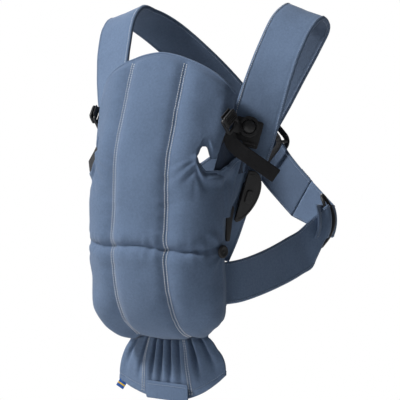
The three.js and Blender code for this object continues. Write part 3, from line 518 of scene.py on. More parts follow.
def stitches(lines, pitch, length, radius):
    """Stitches along each line, a pair of arrays of points and normals."""
    template, template_faces = STITCH
    parts = []
    for points, normals in lines:
        points, normals = np.asarray(points, float), np.asarray(normals, float)
        steps = np.linalg.norm(np.diff(points, axis=0), axis=1)
        travelled = np.concatenate([[0], np.cumsum(steps)])
        places = np.arange(pitch, travelled[-1] - pitch / 2, pitch)
        for s in places:
            ends = [[np.interp(s + d, travelled, points[:, k]) for k in range(3)] for d in (-1, 1)]
            along = unit(np.subtract(ends[1], ends[0]))
            centre = np.mean(ends, axis=0)
            up = unit([np.interp(s, travelled, normals[:, k]) for k in range(3)])
            side = unit(np.cross(up, along))
            up = np.cross(along, side)
            verts = (
                centre
                + template[:, :1] * along * length
                + template[:, 1:2] * side * radius
                + (template[:, 2:] * radius) * up
            )
            parts.append((verts, template_faces))
    return joined(*parts)


# ---------------------------------------------------------------- cloth simulation


def relax_cloth(points, pinned, grow, pressure, frames=14, cap=4.0):
    """Lets a grid of cloth settle with its pinned points held, and returns how far each point moved,
    in millimetres along the grid's normals. The cloth is cut a little too large, so it puckers."""
    rows, columns = points.shape[:2]
    faces = []
    for r in range(rows - 1):
        for c in range(columns - 1):
            i = r * columns + c
            faces.append((i, i + 1, i + columns + 1, i + columns))
    scale = 0.01  # centimetres as Blender units, which keeps the solver's forces in a good range
    mesh = bpy.data.meshes.new("cloth_work")
    mesh.from_pydata((points.reshape(-1, 3) * scale).tolist(), [], faces)
    obj = bpy.data.objects.new("cloth_work", mesh)
    bpy.context.scene.collection.objects.link(obj)
    group = obj.vertex_groups.new(name="pinned")
    for i, weight in enumerate(pinned.ravel()):
        group.add([i], float(weight), "REPLACE")
    modifier = obj.modifiers.new("cloth", "CLOTH")
    settings = modifier.settings
    settings.quality = 6
    settings.mass = 0.3
    settings.tension_stiffness = 25
    settings.compression_stiffness = 25
    settings.shear_stiffness = 12
    settings.bending_stiffness = 0.8
    settings.vertex_group_mass = "pinned"
    settings.shrink_min = -grow
    settings.use_pressure = True
    settings.uniform_pressure_force = pressure
    settings.effector_weights.gravity = 0
    modifier.collision_settings.use_self_collision = False
    scene = bpy.context.scene
    for f in range(1, frames + 1):
        scene.frame_set(f)
    settled = obj.evaluated_get(bpy.context.evaluated_depsgraph_get()).data
    moved = np.array([v.co for v in settled.vertices]).reshape(rows, columns, 3) / scale
    bpy.data.objects.remove(obj)
    scene.frame_set(1)
    offset = ((moved - points) * grid_normals(points)).sum(axis=2)
    return np.clip(offset, -cap, cap)


def spread(coarse, shape):
    """A coarse grid of numbers read at a finer grid's size."""
    rows = np.linspace(0, coarse.shape[0] - 1, shape[0])
    columns = np.linspace(0, coarse.shape[1] - 1, shape[1])
    by_row = np.array([np.interp(columns, np.arange(coarse.shape[1]), line) for line in coarse])
    return np.array([np.interp(rows, np.arange(coarse.shape[0]), by_row[:, c]) for c in range(shape[1])]).T


# ---------------------------------------------------------------- the front panel's surface


def profile_at(height, column):
    """One column of the panel profile at any heights on the middle line: 1 front to 4 lift."""
    table = np.array(PANEL_PROFILE, float)[::-1]
    heights, values = table[:, 0], table[:, column]
    slopes = np.empty_like(values)
    slopes[1:-1] = (values[2:] - values[:-2]) / (heights[2:] - heights[:-2])
    slopes[0] = (values[1] - values[0]) / (heights[1] - heights[0])
    slopes[-1] = (values[-1] - values[-2]) / (heights[-1] - heights[-2])
    h = np.asarray(height, float)
    i = np.clip(np.searchsorted(heights, h) - 1, 0, len(heights) - 2)
    span = heights[i + 1] - heights[i]
    t = (h - heights[i]) / span
    return (
        (2 * t**3 - 3 * t**2 + 1) * values[i]
        + (t**3 - 2 * t**2 + t) * span * slopes[i]
        + (-2 * t**3 + 3 * t**2) * values[i + 1]
        + (t**3 - t**2) * span * slopes[i + 1]
    )


def panel_point(angle, height):
    """Points on the panel's outer face: angle 0 is the middle, a quarter turn its back edge."""
    angle, height = np.broadcast_arrays(np.asarray(angle, float), np.asarray(height, float))
    across = np.abs(np.sin(angle)) ** SECTION_POWER * np.sign(angle)
    back = 1 - np.maximum(0, np.cos(angle)) ** SECTION_POWER
    x = profile_at(height, 2) * across
    y = profile_at(height, 1) + profile_at(height, 3) * back
    z = height + profile_at(height, 4) * back
    return np.stack([x, y, z], axis=-1)


def panel_normal(angle, height):
    step, limit = 0.02, math.pi / 2 - 0.002
    low, high = np.maximum(-limit, angle - step), np.minimum(limit, angle + step)
    normals = np.cross(
        panel_point(high, height) - panel_point(low, height),
        panel_point(angle, height + 1) - panel_point(angle, height - 1),
    )
    return normals / np.linalg.norm(normals, axis=-1, keepdims=True)


def angle_at_x(x, height):
    ratio = np.minimum(1, np.abs(x) / profile_at(height, 2))
    return np.arcsin(ratio ** (1 / SECTION_POWER)) * np.sign(x)


def head_top_edge(angle):
    return -54 - 58 * (1 - np.cos(angle)) ** 0.75


def head_low_edge(angle):
    """The head support's lower edge: the fold, an arch over the arm, a hanging lobe, the buckle."""
    past = np.abs(angle) - FOLD_ANGLE
    arch = 13 * smooth(past / 0.06) * (1 - smooth((past - 0.13) / 0.2))
    lobe = 5 * smooth((past - 0.15) / 0.22)
    corner = 65 * np.clip((past - 0.465) / 0.245, 0, 1) ** 0.62
    return FOLD_HEIGHT + arch - lobe + corner


def chest_top_edge(angle):
    """The chest part's upper edge: the fold, then the armhole's lower rim, which sags."""
    past = np.abs(angle) - FOLD_ANGLE
    drop = 22 * (1 - (1 - np.clip(past / 0.19, 0, 1)) ** 2)
    return FOLD_HEIGHT - drop + 7.5 * smooth((past - 0.5) / 0.2)


def rim_flare(angle, height):
    """The armhole's lower rim stands out as a soft lip, with a groove below it."""
    side = smooth((np.abs(angle) - 0.72) / 0.25)
    below = chest_top_edge(angle) - height
    return side * (3.6 * bell(below - 4, 9) - 1.6 * bell(below - 21, 8))


def lobe_curl(angle, height):
    """How far the head support's side turns in towards the baby, most at its hanging lobe."""
    side = smooth((np.abs(angle) - 0.62) / 0.5)
    low = 1 - smooth((height - FOLD_HEIGHT + 4) / 62)
    return side * (3 * low**1.4 + 1.5 * low)


def puff(angle, height):
    """How far the quilted face stands out from the panel's plain surface, at angles and heights."""
    x = profile_at(height, 2) * np.abs(np.sin(angle)) ** SECTION_POWER
    across_seam = np.abs(x - SEAM_X)
    seam = 2.3 * bell(across_seam, 7.5) + 0.5 * bell(across_seam, 0.9)
    middle = 2.2 * np.clip(1 - (x / SEAM_X) ** 2, 0, 1)
    side = 2.0 * smooth((x - SEAM_X - 4) / 22) * (1 - smooth((np.abs(angle) - 1.1) / 0.4))
    from_waist = height - WAIST_HEIGHT - 2.5 * np.cos(x / 20)
    waist = 3.6 * bell(from_waist, 4.5) + 1.6 * bell(from_waist, 1.3)
    waist = waist - 2.2 * bell(np.abs(from_waist) - 15, 11)
    waist = waist * (1 - 0.75 * smooth((np.abs(angle) - 0.8) / 0.4))
    return 0.8 + middle + side - seam - waist + seat_corner(angle, height) - head_taper(angle, height)


def seat_corner(angle, height):
    """The seat's padding is stuffed fuller at its two lower corners."""
    fullness = np.where(np.asarray(angle) < 0, 6.5, 0)
    return fullness * bell(np.abs(angle) - 0.95, 0.3) * smooth((-372 - height) / 34)


def head_taper(angle, height):
    """The head support's sides lean in a little between the fold and its rounded top."""
    return 5 * bell(np.abs(angle) - 0.95, 0.33) * bell(height + 135, 42)


def wrinkles(points, height):
    """Creases in the panel's face: short puckers along each seam and long pulls from the armholes."""
    x = points[..., 0]
    near_seam = bell(np.abs(np.abs(x) - SEAM_X), 13)
    stretched = points * (0.35, 0.35, 1)
    puckers = ripple(stretched, 6.5, 1) * near_seam * 0.8
    near_waist = bell(np.abs(height - WAIST_HEIGHT), 17)
    gathers = ripple(points * (1, 1, 0.28), 7.5, 2) * near_waist * 1.5
    soft = ripple(points, 42, 3) * 1.5 + ripple(points, 19, 4) * 0.5
    armhole = np.array([80, -150, -190])
    from_arm = np.abs(points - armhole * np.where(x[..., None] < 0, (-1, 1, 1), (1, 1, 1)))
    reach = np.linalg.norm(from_arm, axis=-1)
    bearing = np.arctan2(from_arm[..., 2], from_arm[..., 0] + 12)
    rays = np.sin(bearing * 17 + 2.5 * ripple(points, 30, 5)) * bell(reach - 38, 30)
    rays = rays * (height < FOLD_HEIGHT - 8) * 0.75
    button = np.array([103, -150, -322])
    from_button = np.abs(points - button * np.where(x[..., None] < 0, (-1, 1, 1), (1, 1, 1)))
    near_button = np.linalg.norm(from_button, axis=-1)
    turn = np.arctan2(from_button[..., 2], from_button[..., 1] + 1e-3)
    pulls = np.sin(turn * 9 + ripple(points, 25, 6) * 2) * bell(near_button - 22, 20) * 0.9
    return puckers + gathers + soft + rays + pulls


def seam_lines(columns):
    """Adds the columns that follow the two long seams to a list of column angles, at each height."""
    def angles_at(height):
        seam = angle_at_x(SEAM_X, height)
        inner = np.linspace(-1, 1, columns[1] + 1)
        outer = np.linspace(0, 1, columns[0] + 1)[1:]
        side = mix(seam, QUARTER, outer)
        return np.concatenate([-side[::-1], seam * inner, side])
    return angles_at


class PanelGrid:
    """Rows of points on the panel between two edge heights, for one set of columns."""

    def __init__(self, low, high, rows, columns):
        angles_at = seam_lines(columns)
        guess = angles_at(FOLD_HEIGHT)
        t = np.linspace(0, 1, rows + 1)[:, None]
        self.height = mix(low(guess)[None, :], high(guess)[None, :], t)
        exact = np.array([[angles_at(h)[c] for c, h in enumerate(line)] for line in self.height])
        self.angle = exact
        self.base = panel_point(self.angle, self.height)
        self.normal = panel_normal(self.angle, self.height)


def edge_distance(grid, low_free, high_free):
    """How far each point is from the grid's free edges, in millimetres."""
    rows = np.linalg.norm(np.diff(grid.base, axis=0), axis=2)
    along = np.concatenate([np.zeros((1, rows.shape[1])), np.cumsum(rows, axis=0)])
    columns = np.linalg.norm(np.diff(grid.base, axis=1), axis=2)
    over = np.concatenate([np.zeros((columns.shape[0], 1)), np.cumsum(columns, axis=1)], axis=1)
    distances = [over, over[:, -1:] - over]
    far = np.full_like(along, 1e3)
    distances.append(np.where(low_free, along, far))
    distances.append(np.where(high_free, along[-1:] - along, far))
    return np.min(distances, axis=0)


def sewn_edge(distance, depth):
    """Thickness factor near a sewn edge: thin at the edge, full inside."""
    return mix(0.42, 1, np.sqrt(np.clip(distance / depth, 0, 1)))


def panel_level(grid, low_free, high_free, swelling, is_head):
    """Outer and inner points of one level of the padded panel."""
    distance = edge_distance(grid, low_free, high_free)
    full = sewn_edge(distance, 14)
    proud = puff(grid.angle, grid.height) + wrinkles(grid.base, grid.height) + swelling
    curl = lobe_curl(grid.angle, grid.height)[..., None]
    proud = proud + rim_flare(grid.angle, grid.height) * (1 - is_head)
    edge = smooth(distance / 12)
    outer = grid.base + grid.normal * (proud * mix(0.15, 1, edge) - 1.5 * (1 - edge))[..., None]
    sag = seat_corner(grid.angle, grid.height)[..., None] * np.array([0, 0, -1.1])
    outer = outer + sag
    outer = outer - grid.normal * curl * is_head
    quilt = 1.2 * bell(np.abs(np.abs(grid.base[..., 0]) - SEAM_X), 7)
    depth = PANEL_THICKNESS * full - quilt + 0.5 * ripple(grid.base, 16, 8) * edge
    inner = grid.base - grid.normal * (depth[..., None] + curl * is_head) + sag
    return outer, inner


def closed_skin(outer, inner, faces, bulge=0.6):
    """A closed skin from matching outer and inner points and the outer faces. The rim between the two
    is rounded outward. Returns points, faces and which faces are lining."""
    edges = {}
    for f in faces:
        for a, b in zip(f, f[1:] + f[:1]):
            edges[(a, b)] = True
    rim = [(a, b) for a, b in edges if (b, a) not in edges]
    count = len(outer)
    verts = [outer, inner]
    flow = {}
    for a, b in rim:
        flow.setdefault(a, []).append(np.cross(outer[b] - outer[a], inner[a] - outer[a]))
        flow.setdefault(b, []).append(np.cross(outer[b] - outer[a], inner[b] - outer[b]))
    where = {v: k for k, v in enumerate(flow)}
    steps = 3
    for s in range(1, steps + 1):
        t = s / (steps + 1)
        ring = np.array([
            mix(outer[v], inner[v], t)
            + unit(np.sum(f, axis=0) + 1e-9)
            * bulge * math.sin(math.pi * t) * np.linalg.norm(inner[v] - outer[v])
            for v, f in flow.items()
        ])
        verts.append(ring)
    all_faces = [tuple(f) for f in faces]
    lining = [tuple(count + i for i in f[::-1]) for f in faces]

    def level(v, s):
        if s == 0:
            return v
        if s == steps + 1:
            return count + v
        return 2 * count + (s - 1) * len(where) + where[v]

    sides = []
    for a, b in rim:
        for s in range(steps + 1):
            sides.append((level(b, s), level(a, s), level(a, s + 1), level(b, s + 1)))
    materials = [0] * (len(all_faces) + len(sides)) + [1] * len(lining)
    return np.concatenate(verts), all_faces + sides + lining, materials


def softened(values):
    """A grid of numbers, averaged with its neighbours."""
    padded = np.pad(values, 1, mode="edge")
    across = (padded[:, :-2] + 2 * padded[:, 1:-1] + padded[:, 2:]) / 4
    return (across[:-2] + 2 * across[1:-1] + across[2:]) / 4


def swelling_of(grid, columns):
    """The panel cloth's settled puffing and puckering between its seams, from a cloth simulation."""
    step = 2
    base = grid.base[::step, ::step] + grid.normal[::step, ::step] * 0.2
    pinned = np.zeros(base.shape[:2])
    for seam in (columns[0] // step, (columns[0] + columns[1]) // step):
        pinned[:, seam] = 1
    pinned[[0, -1], :] = 1
    pinned[:, [0, -1]] = 1
    moved = relax_cloth(base, pinned, grow=0.05, pressure=2.2)
    return spread(softened(softened(moved)) * SWELLING_SHARE, grid.base.shape[:2])


def meet_at_fold(low, high):
    """Makes two swellings run into each other at the fold, where neither is sewn down."""
    rows = 12
    shared = (low[-rows - 1] + high[rows]) / 2
    for r in range(rows + 1):
        t = smooth(r / rows)
        low[-rows - 1 + r] = mix(low[-rows - 1], shared, t)
        high[rows - r] = mix(high[rows], shared, t)


def front_panel():
    """The quilted panel from the seat's end to the head support's top edge, in one piece. It bends
    at the fold; outside the fold the head support and the chest part are separate, for the arms."""
    columns = (46, 44)
    low = PanelGrid(lambda a: np.full_like(a, SEAT_END), chest_top_edge, 130, columns)
    high = PanelGrid(head_low_edge, head_top_edge, 62, columns)
    outside = np.abs(low.angle[-1]) > FOLD_ANGLE + 1e-3
    low_swelling, high_swelling = swelling_of(low, columns), swelling_of(high, columns)
    meet_at_fold(low_swelling, high_swelling)
    low_outer, low_inner = panel_level(low, False, outside[None, :], low_swelling, 0)
    high_outer, high_inner = panel_level(high, outside[None, :], True, high_swelling, 1)
    width = low.base.shape[1]
    rows_low, rows_high = low.base.shape[0], high.base.shape[0]
    for a, b in ((low_outer, high_outer), (low_inner, high_inner)):
        joined_row = (a[-1] + b[0]) / 2
        a[-1] = np.where(outside[:, None], a[-1], joined_row)
        b[0] = a[-1] * (~outside[:, None]) + b[0] * outside[:, None]
    outer = np.concatenate([low_outer.reshape(-1, 3), high_outer.reshape(-1, 3)])
    inner = np.concatenate([low_inner.reshape(-1, 3), high_inner.reshape(-1, 3)])

    def index(level, r, c):
        if level == 0:
            return r * width + c
        if r == 0 and not outside[c]:
            return (rows_low - 1) * width + c
        return rows_low * width + r * width + c

    faces = []
    for level, rows in ((0, rows_low), (1, rows_high)):
        for r in range(rows - 1):
            for c in range(width - 1):
                faces.append((
                    index(level, r, c), index(level, r, c + 1),
                    index(level, r + 1, c + 1), index(level, r + 1, c),
                ))
    used = sorted({v for f in faces for v in f})
    place = {v: i for i, v in enumerate(used)}
    faces = [tuple(place[v] for v in f) for f in faces]
    skin, skin_faces, materials = closed_skin(outer[used], inner[used], faces)
    names = [
        f"{level}_{part}" for level in ("head_support", "chest_panel", "seat_panel")
        for part in ("center", "side_left", "side_right", "padding", "lining")
    ]
    panel = piece(
        "front_panel", skin, skin_faces, [PANEL_CLOTH, LINING_CLOTH], None, "panel_cloth",
        names, materials,
    )
    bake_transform(panel)
    return low, high, low_outer, high_outer


def panel_stitches(low_outer, high_outer):
    """The two pale rows down each long seam, from the head support's edge to the seat's end."""
    face = np.concatenate([low_outer, high_outer[1:]])
    normals = grid_normals(face)
    lines = []
    for sign in (-1, 1):
        for side in (-1, 1):
            x = sign * (SEAM_X + side * ROW_GAP / 2)
            places = np.array([[np.interp(x, line[:, 0], line[:, k]) for k in range(3)] for line in face])
            ups = np.array([
                [np.interp(x, line[:, 0], up[:, k]) for k in range(3)] for line, up in zip(face, normals)
            ])
            lines.append(((places + ups * 0.2)[1:-2], ups[1:-2]))
    made = piece("panel_stitches", *stitches(lines, *SEAM_STITCH), PALE_THREAD, None, "panel_cloth")
    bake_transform(made)


def hem_roll(high, high_outer):
    """The rolled edge along the head support's top, in a lighter copy of the panel cloth: a painted highlight
    along the roll.
    """
    keep = slice(2, -2)
    edge = (high_outer[-1] + high.normal[-1] * -1.6)[keep]
    roll = tube(edge + (0, 0, 0.4), circle(1.9, 12, 1.3), high.normal[-1][keep])
    piece("head_hem", *roll, HEM_HIGHLIGHT_CLOTH, "head_support", "panel_cloth")


# ---------------------------------------------------------------- straps, belts and loops


def refined(grid, rows, columns):
    """A grid of points drawn through a coarse grid, at more rows and columns."""
    coarse_rows = [
        np.array([catmull(list(line), t) for t in np.linspace(0, 1, columns + 1)]) for line in grid
    ]
    coarse = np.array(coarse_rows)
    fine = [
        [catmull(list(coarse[:, c]), t) for c in range(columns + 1)] for t in np.linspace(0, 1, rows + 1)
    ]
    return np.array(fine)


def strap_profile(x, half, hem, thickness):
    """Half thickness of a hemmed strap at a distance x from its middle line."""
    from_edge = np.maximum(half - np.abs(x), 0)
    body = thickness / 2 * (1 - 0.2 * bell(from_edge - hem, 1.3)) + 0.3 * bell(from_edge - hem / 2, hem / 2.4)
    round_edge = np.sqrt(np.clip(from_edge / 1.6, 0, 1))
    return body * mix(0.25, 1, round_edge)


def strap_columns(half, count=26):
    """Distances from the middle line, closer together at the hems."""
    u = np.linspace(-1, 1, count + 1)
    return half * np.sign(u) * (1 - (1 - np.abs(u)) ** 1.6)


def soft_strap(grid, thickness, hem, seed, crumple=1.0):
    """Outer and inner skins about a strap's middle surface, with hems, puckers and soft creases."""
    normals = grid_normals(grid)
    widths = np.linalg.norm(np.diff(grid, axis=1), axis=2)
    across = np.concatenate([np.zeros((grid.shape[0], 1)), np.cumsum(widths, axis=1)], axis=1)
    half = across[:, -1:] / 2
    x = across - half
    body = strap_profile(x, half, hem, thickness)
    from_edge = half - np.abs(x)
    edge = smooth(from_edge / 3)
    puckers = ripple(grid, 5.5, seed) * bell(from_edge - hem, 5) * 0.3 * crumple
    soft = ripple(grid, 30, seed + 1) * 0.7 * crumple * edge
    soft = soft + ripple(grid, 12, seed + 2) * 0.3 * crumple * edge
    outer = grid + normals * (body + puckers + soft)[..., None]
    inner = grid - normals * (body + puckers * 0.7 - soft * 0.6)[..., None]
    return outer, inner, normals


def hem_stitch_lines(surface, normals, distance, sides=(-1, 1), lift=0.15):
    """Lines of points and normals that run along a strap at a distance from its edges."""
    lines = []
    for side in sides:
        points, ups = [], []
        for line, up in zip(surface, normals):
            run = np.concatenate([[0], np.cumsum(np.linalg.norm(np.diff(line, axis=0), axis=1))])
            at = distance if side < 0 else run[-1] - distance
            points.append([np.interp(at, run, line[:, k]) for k in range(3)])
            ups.append([np.interp(at, run, up[:, k]) for k in range(3)])
        lines.append((np.array(points) + np.array(ups) * lift, np.array(ups)))
    return lines


def strap_grid(shift, steps, first=0.0, last=1.0):
    grid = []
    for t in np.linspace(first, last, steps + 1):
        f = ribbon_frame(STRAP_PATH, t, shift)
        x = strap_columns(f.width / 2)
        grid.append(f.origin + x[:, None] * f.across)
    return np.array(grid)


def shoulder_straps():
    """The padded straps, each from the front panel over the shoulder to the far side of the back."""
    for (side, sign), shift in zip(SIDES, (-CROSSING_SHIFT, CROSSING_SHIFT)):
        grid = strap_grid(shift, 250)
        outer, inner, normals = soft_strap(grid, 5.5, 5, 11)
        verts, faces = shell(outer, inner)
        flip = (sign, 1, 1)
        strap = piece(
            f"shoulder_strap_{side}_cloth", verts * flip, faces, [STRAP_CLOTH, STRAP_BACK], "harness",
            "strap_cloth", [f"shoulder_strap_{side}"], inner_side(outer),
        )
        pale = hem_stitch_lines(outer, normals, 4.4, (-1,))
        quiet = hem_stitch_lines(outer, normals, 4.4, (1,))
        back = hem_stitch_lines(inner, -normals, 4.4)
        for name, lines, material in (("pale", pale, PALE_THREAD), ("quiet", quiet + back, BLUE_THREAD)):
            verts, faces = stitches(lines, *STRAP_STITCH)
            piece(f"shoulder_strap_{side}_{name}_stitches", verts * flip, faces, material,
                  "harness", "strap_cloth")
        last, up = outer[-12:-3], normals[-12:-3]
        ridges = (0.9 + 0.35 * np.cos(np.arange(9) * math.pi))[:, None, None]
        verts, faces = shell(last + up * ridges, last - up * 0.5)
        piece(f"shoulder_strap_{side}_end", verts * flip, faces, ELASTIC, "harness", "strap_cloth")


def ring_frame():
    out = unit((0.97, 0.25, 0))
    up = np.array([-0.02, 0.08, 1])
    up = unit(up - out * np.dot(up, out))
    return Frame(np.array(RING_ORIGIN), np.cross(up, out), up, out)


def ring_depth(y):
    return -RING["bow"] * (y / (RING["length"] / 2)) ** 2


def ring_turn(toward, return_length, flip):
    """Lines of points by which a strap end turns round the ring's rear (1) or front (-1) bar."""
    f = ring_frame()
    radius = RING["bar"] / 2 + 1.5 + RING["play"]
    bar = toward * ((RING["width"] - RING["bar"]) / 2)
    y = np.linspace(-0.5, 0.5, 5) * RING["loop_width"]
    y = y[::-1] if flip else y

    def line(x, z):
        return f.at(np.stack([np.full_like(y, x), y, z + ring_depth(y)], axis=-1))

    lines = [line(bar + toward * 7, radius)]
    for k in range(7):
        a = math.pi * k / 6
        lines.append(line(bar - toward * radius * math.sin(a), radius * math.cos(a)))
    lines.append(line(bar + toward * return_length * 0.5, -radius))
    lines.append(line(bar + toward * return_length, -radius))
    return lines


def lines_between(first, last, count):
    return [mix(first, last, (i + 1) / (count + 1)) for i in range(count)]


def loops_and_belts():
    """The strap ends that turn round the side rings: the back straps' loops and the waist belts."""
    end = ribbon_frame(STRAP_PATH, 1)
    y = np.linspace(-0.5, 0.5, 5) * end.width
    seam = (end.origin + end.up * 0.8 + y[:, None] * end.across) * (-1, 1, 1)
    seam = seam[::-1]
    rear = ring_turn(1, 24, False)
    loop = refined([seam, *lines_between(seam, rear[0], 3), *rear], 80, 24)
    outer, inner, normals = soft_strap(loop, 3, 3.5, 21, 0.5)
    for made in pair("ring_loop_cloth", *shell(outer, inner), STRAP_CLOTH, "harness", "strap_cloth",
                     ["ring_loop_{}"]):
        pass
    lines = hem_stitch_lines(outer, normals, 3.5) + hem_stitch_lines(inner, -normals, 3.5)
    pair("ring_loop_stitches", *stitches(lines, *BELT_STITCH), BLUE_THREAD, "harness", "strap_cloth")

    belt = [
        f.origin + (np.linspace(-0.5, 0.5, 5) * f.width)[:, None] * f.across
        for f in (ribbon_frame(BELT_PATH, t) for t in np.linspace(0, 1, 10))
    ]
    front = ring_turn(-1, 27, True)
    belt = refined([*belt, *lines_between(belt[-1], front[0], 2), *front], 130, 26)
    outer, inner, normals = soft_strap(belt, 3, 4, 31, 0.8)
    for made in pair("waist_belt_cloth", *shell(outer, inner), STRAP_CLOTH, "harness", "strap_cloth",
                     ["waist_belt_{}"]):
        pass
    lines = hem_stitch_lines(outer, normals, 4) + hem_stitch_lines(inner, -normals, 4)
    pair("waist_belt_stitches", *stitches(lines, *BELT_STITCH), BLUE_THREAD, "harness", "strap_cloth")


def side_rings():
    """The bowed ring with a proud middle bar, one on each side."""
    f = ring_frame()
    bar, length, width = RING["bar"], RING["length"], RING["width"]
    straight, wide = (length - width) / 2, (width - bar) / 2
    places = []
    for end in (1, -1):
        turn = 0 if end > 0 else math.pi
        for s in np.linspace(-1, 1, 10)[1:-1]:
            places.append((end * wide, end * straight * s))
        for a in np.linspace(0, math.pi, 15):
            places.append((wide * math.cos(turn + a), end * straight + wide * math.sin(turn + a)))
    frame_line = [(x, y, ring_depth(y)) for x, y in places]
    section = [(2.35 * np.sign(math.cos(a)) * abs(math.cos(a)) ** 0.6,
                2.15 * np.sign(math.sin(a)) * abs(math.sin(a)) ** 0.6)
               for a in np.linspace(0, 2 * math.pi, 16, endpoint=False)]
    rim = tube(frame_line, section, [(0, 0, 1)] * len(frame_line), True)
    reach = straight + wide
    spine_line = [
        (0, y, ring_depth(y) + RING["lift"] * (1 - (y / reach) ** 2)) for y in np.linspace(-reach, reach, 31)
    ]
    section = [(s * 3.9 / 2.35, u * 2.4 / 2.15) for s, u in section]
    spine = tube(spine_line, section, [(0, 0, 1)] * len(spine_line))
    for name, part in (("rim", rim), ("spine", spine)):
        verts, faces = part
        pair(f"side_ring_{name}", f.at(verts), faces, PLASTIC, "ring_{}", "black_plastic", ["strap_ring_{}"])


# ---------------------------------------------------------------- moulded plastic


def rounded_rect(x0, y0, x1, y1, radius, steps=5):
    points = []
    corners = ((x1 - radius, y1 - radius, 0), (x0 + radius, y1 - radius, 1),
               (x0 + radius, y0 + radius, 2), (x1 - radius, y0 + radius, 3))
    for cx, cy, quarter in corners:
        for k in range(steps + 1):
            a = math.pi / 2 * (quarter + k / steps)
            points.append((cx + radius * math.cos(a), cy + radius * math.sin(a)))
    return points


def round_outline(x, y, radius, steps=40):
    angles = np.linspace(0, 2 * math.pi, steps, endpoint=False)
    return [(x + radius * math.cos(a), y + radius * math.sin(a)) for a in angles]


def plate(outlines, bottom, top, bevel=0.6):
    """A flat plate with rounded edges from an outline and any holes, as points and faces."""
    curve = bpy.data.curves.new("plate_work", "CURVE")
    curve.dimensions = "2D"
    curve.fill_mode = "BOTH"
    curve.extrude = (top - bottom) / 2 - bevel
    curve.bevel_depth = bevel
    curve.bevel_resolution = 2
    curve.offset = -bevel
    for outline in outlines:
        spline = curve.splines.new("POLY")
        spline.points.add(len(outline) - 1)
        for point, (x, y) in zip(spline.points, outline):
            point.co = (x, y, 0, 1)
        spline.use_cyclic_u = True
    obj = bpy.data.objects.new("plate_work", curve)
    bpy.context.scene.collection.objects.link(obj)
    mesh = obj.evaluated_get(bpy.context.evaluated_depsgraph_get()).to_mesh()
    seen, index = {}, []
    for v in mesh.vertices:
        key = tuple(round(c, 3) for c in v.co)
        index.append(seen.setdefault(key, len(seen)))
    verts = np.array(list(seen), float) + (0, 0, (bottom + top) / 2)
    faces = []
    for p in mesh.polygons:
        face = [index[i] for i in p.vertices]
        face = [v for k, v in enumerate(face) if v != face[k - 1]]
        if len(set(face)) > 2:
            faces.append(tuple(face))
    bpy.data.objects.remove(obj)
    return verts, faces


def turned(profile, steps=48):
    """A round piece about z from radius and level pairs, closed at both ends on the axis."""
    verts, faces = [], []
    for radius, level in profile:
        for k in range(steps):
            a = 2 * math.pi * k / steps
            verts.append((radius * math.cos(a), radius * math.sin(a), level))
    for r in range(len(profile) - 1):
        for k in range(steps):
            n = (k + 1) % steps
            faces.append((r * steps + k, r * steps + n, (r + 1) * steps + n, (r + 1) * steps + k))
    last = (len(profile) - 1) * steps
    faces.append(tuple(range(steps))[::-1])
    faces.append(tuple(last + k for k in range(steps)))
    return np.array(verts), faces


def rounded_bar(length, width, height, centre):
    """A small moulded rib: a bar along x with rounded edges."""
    section = [(width / 2 * np.sign(math.cos(a)) * abs(math.cos(a)) ** 0.7,
                height / 2 * np.sign(math.sin(a)) * abs(math.sin(a)) ** 0.7)
               for a in np.linspace(0, 2 * math.pi, 12, endpoint=False)]
    ends = [(-0.5, 0.6), (-0.46, 0.9), (-0.42, 1), (0.42, 1), (0.46, 0.9), (0.5, 0.6)]
    verts = [(t * length, s * k, u * k) for t, k in ends for s, u in section]
    around = len(section)
    faces = []
    for i in range(len(ends) - 1):
        for k in range(around):
            n = (k + 1) % around
            faces.append((i * around + k, (i + 1) * around + k, (i + 1) * around + n, i * around + n))
    faces.append(tuple(range(around)))
    faces.append(tuple((len(ends) - 1) * around + k for k in range(around))[::-1])
    return np.array(verts) + centre, faces


def turned_by(points, axis, angle):
    return np.asarray(points) @ np.array(Matrix.Rotation(angle, 3, axis)).T


ADJUSTER_AT = np.array([-36.5, -3, 26.8])
ADJUSTER_LEAN = 0.77
ADJUSTER_TURN = 0.995
DOME_X = -8
PLATE_BOTTOM = 6.15
PLATE_TOP = 8.75
HOOK_BOTTOM = 9.25
HOOK_TOP = 13.45


def in_adjuster(points):
    """From the adjuster's own axes to the strap's: it leans back along the head support's side."""
    return turned_by(turned_by(points, "Z", ADJUSTER_TURN), "Y", ADJUSTER_LEAN) + ADJUSTER_AT


def moved(part, change):
    return change(part[0]), part[1]


def hard_pair(name, parts, frame_, body, replaces=()):
    """Rigid moulded parts, drawn in a frame's axes, on both sides."""
    verts, faces = joined(*parts)
    for obj in pair(name, frame_.at(verts), faces, PLASTIC, body, "black_plastic", replaces):
        smooth_by_angle(obj)


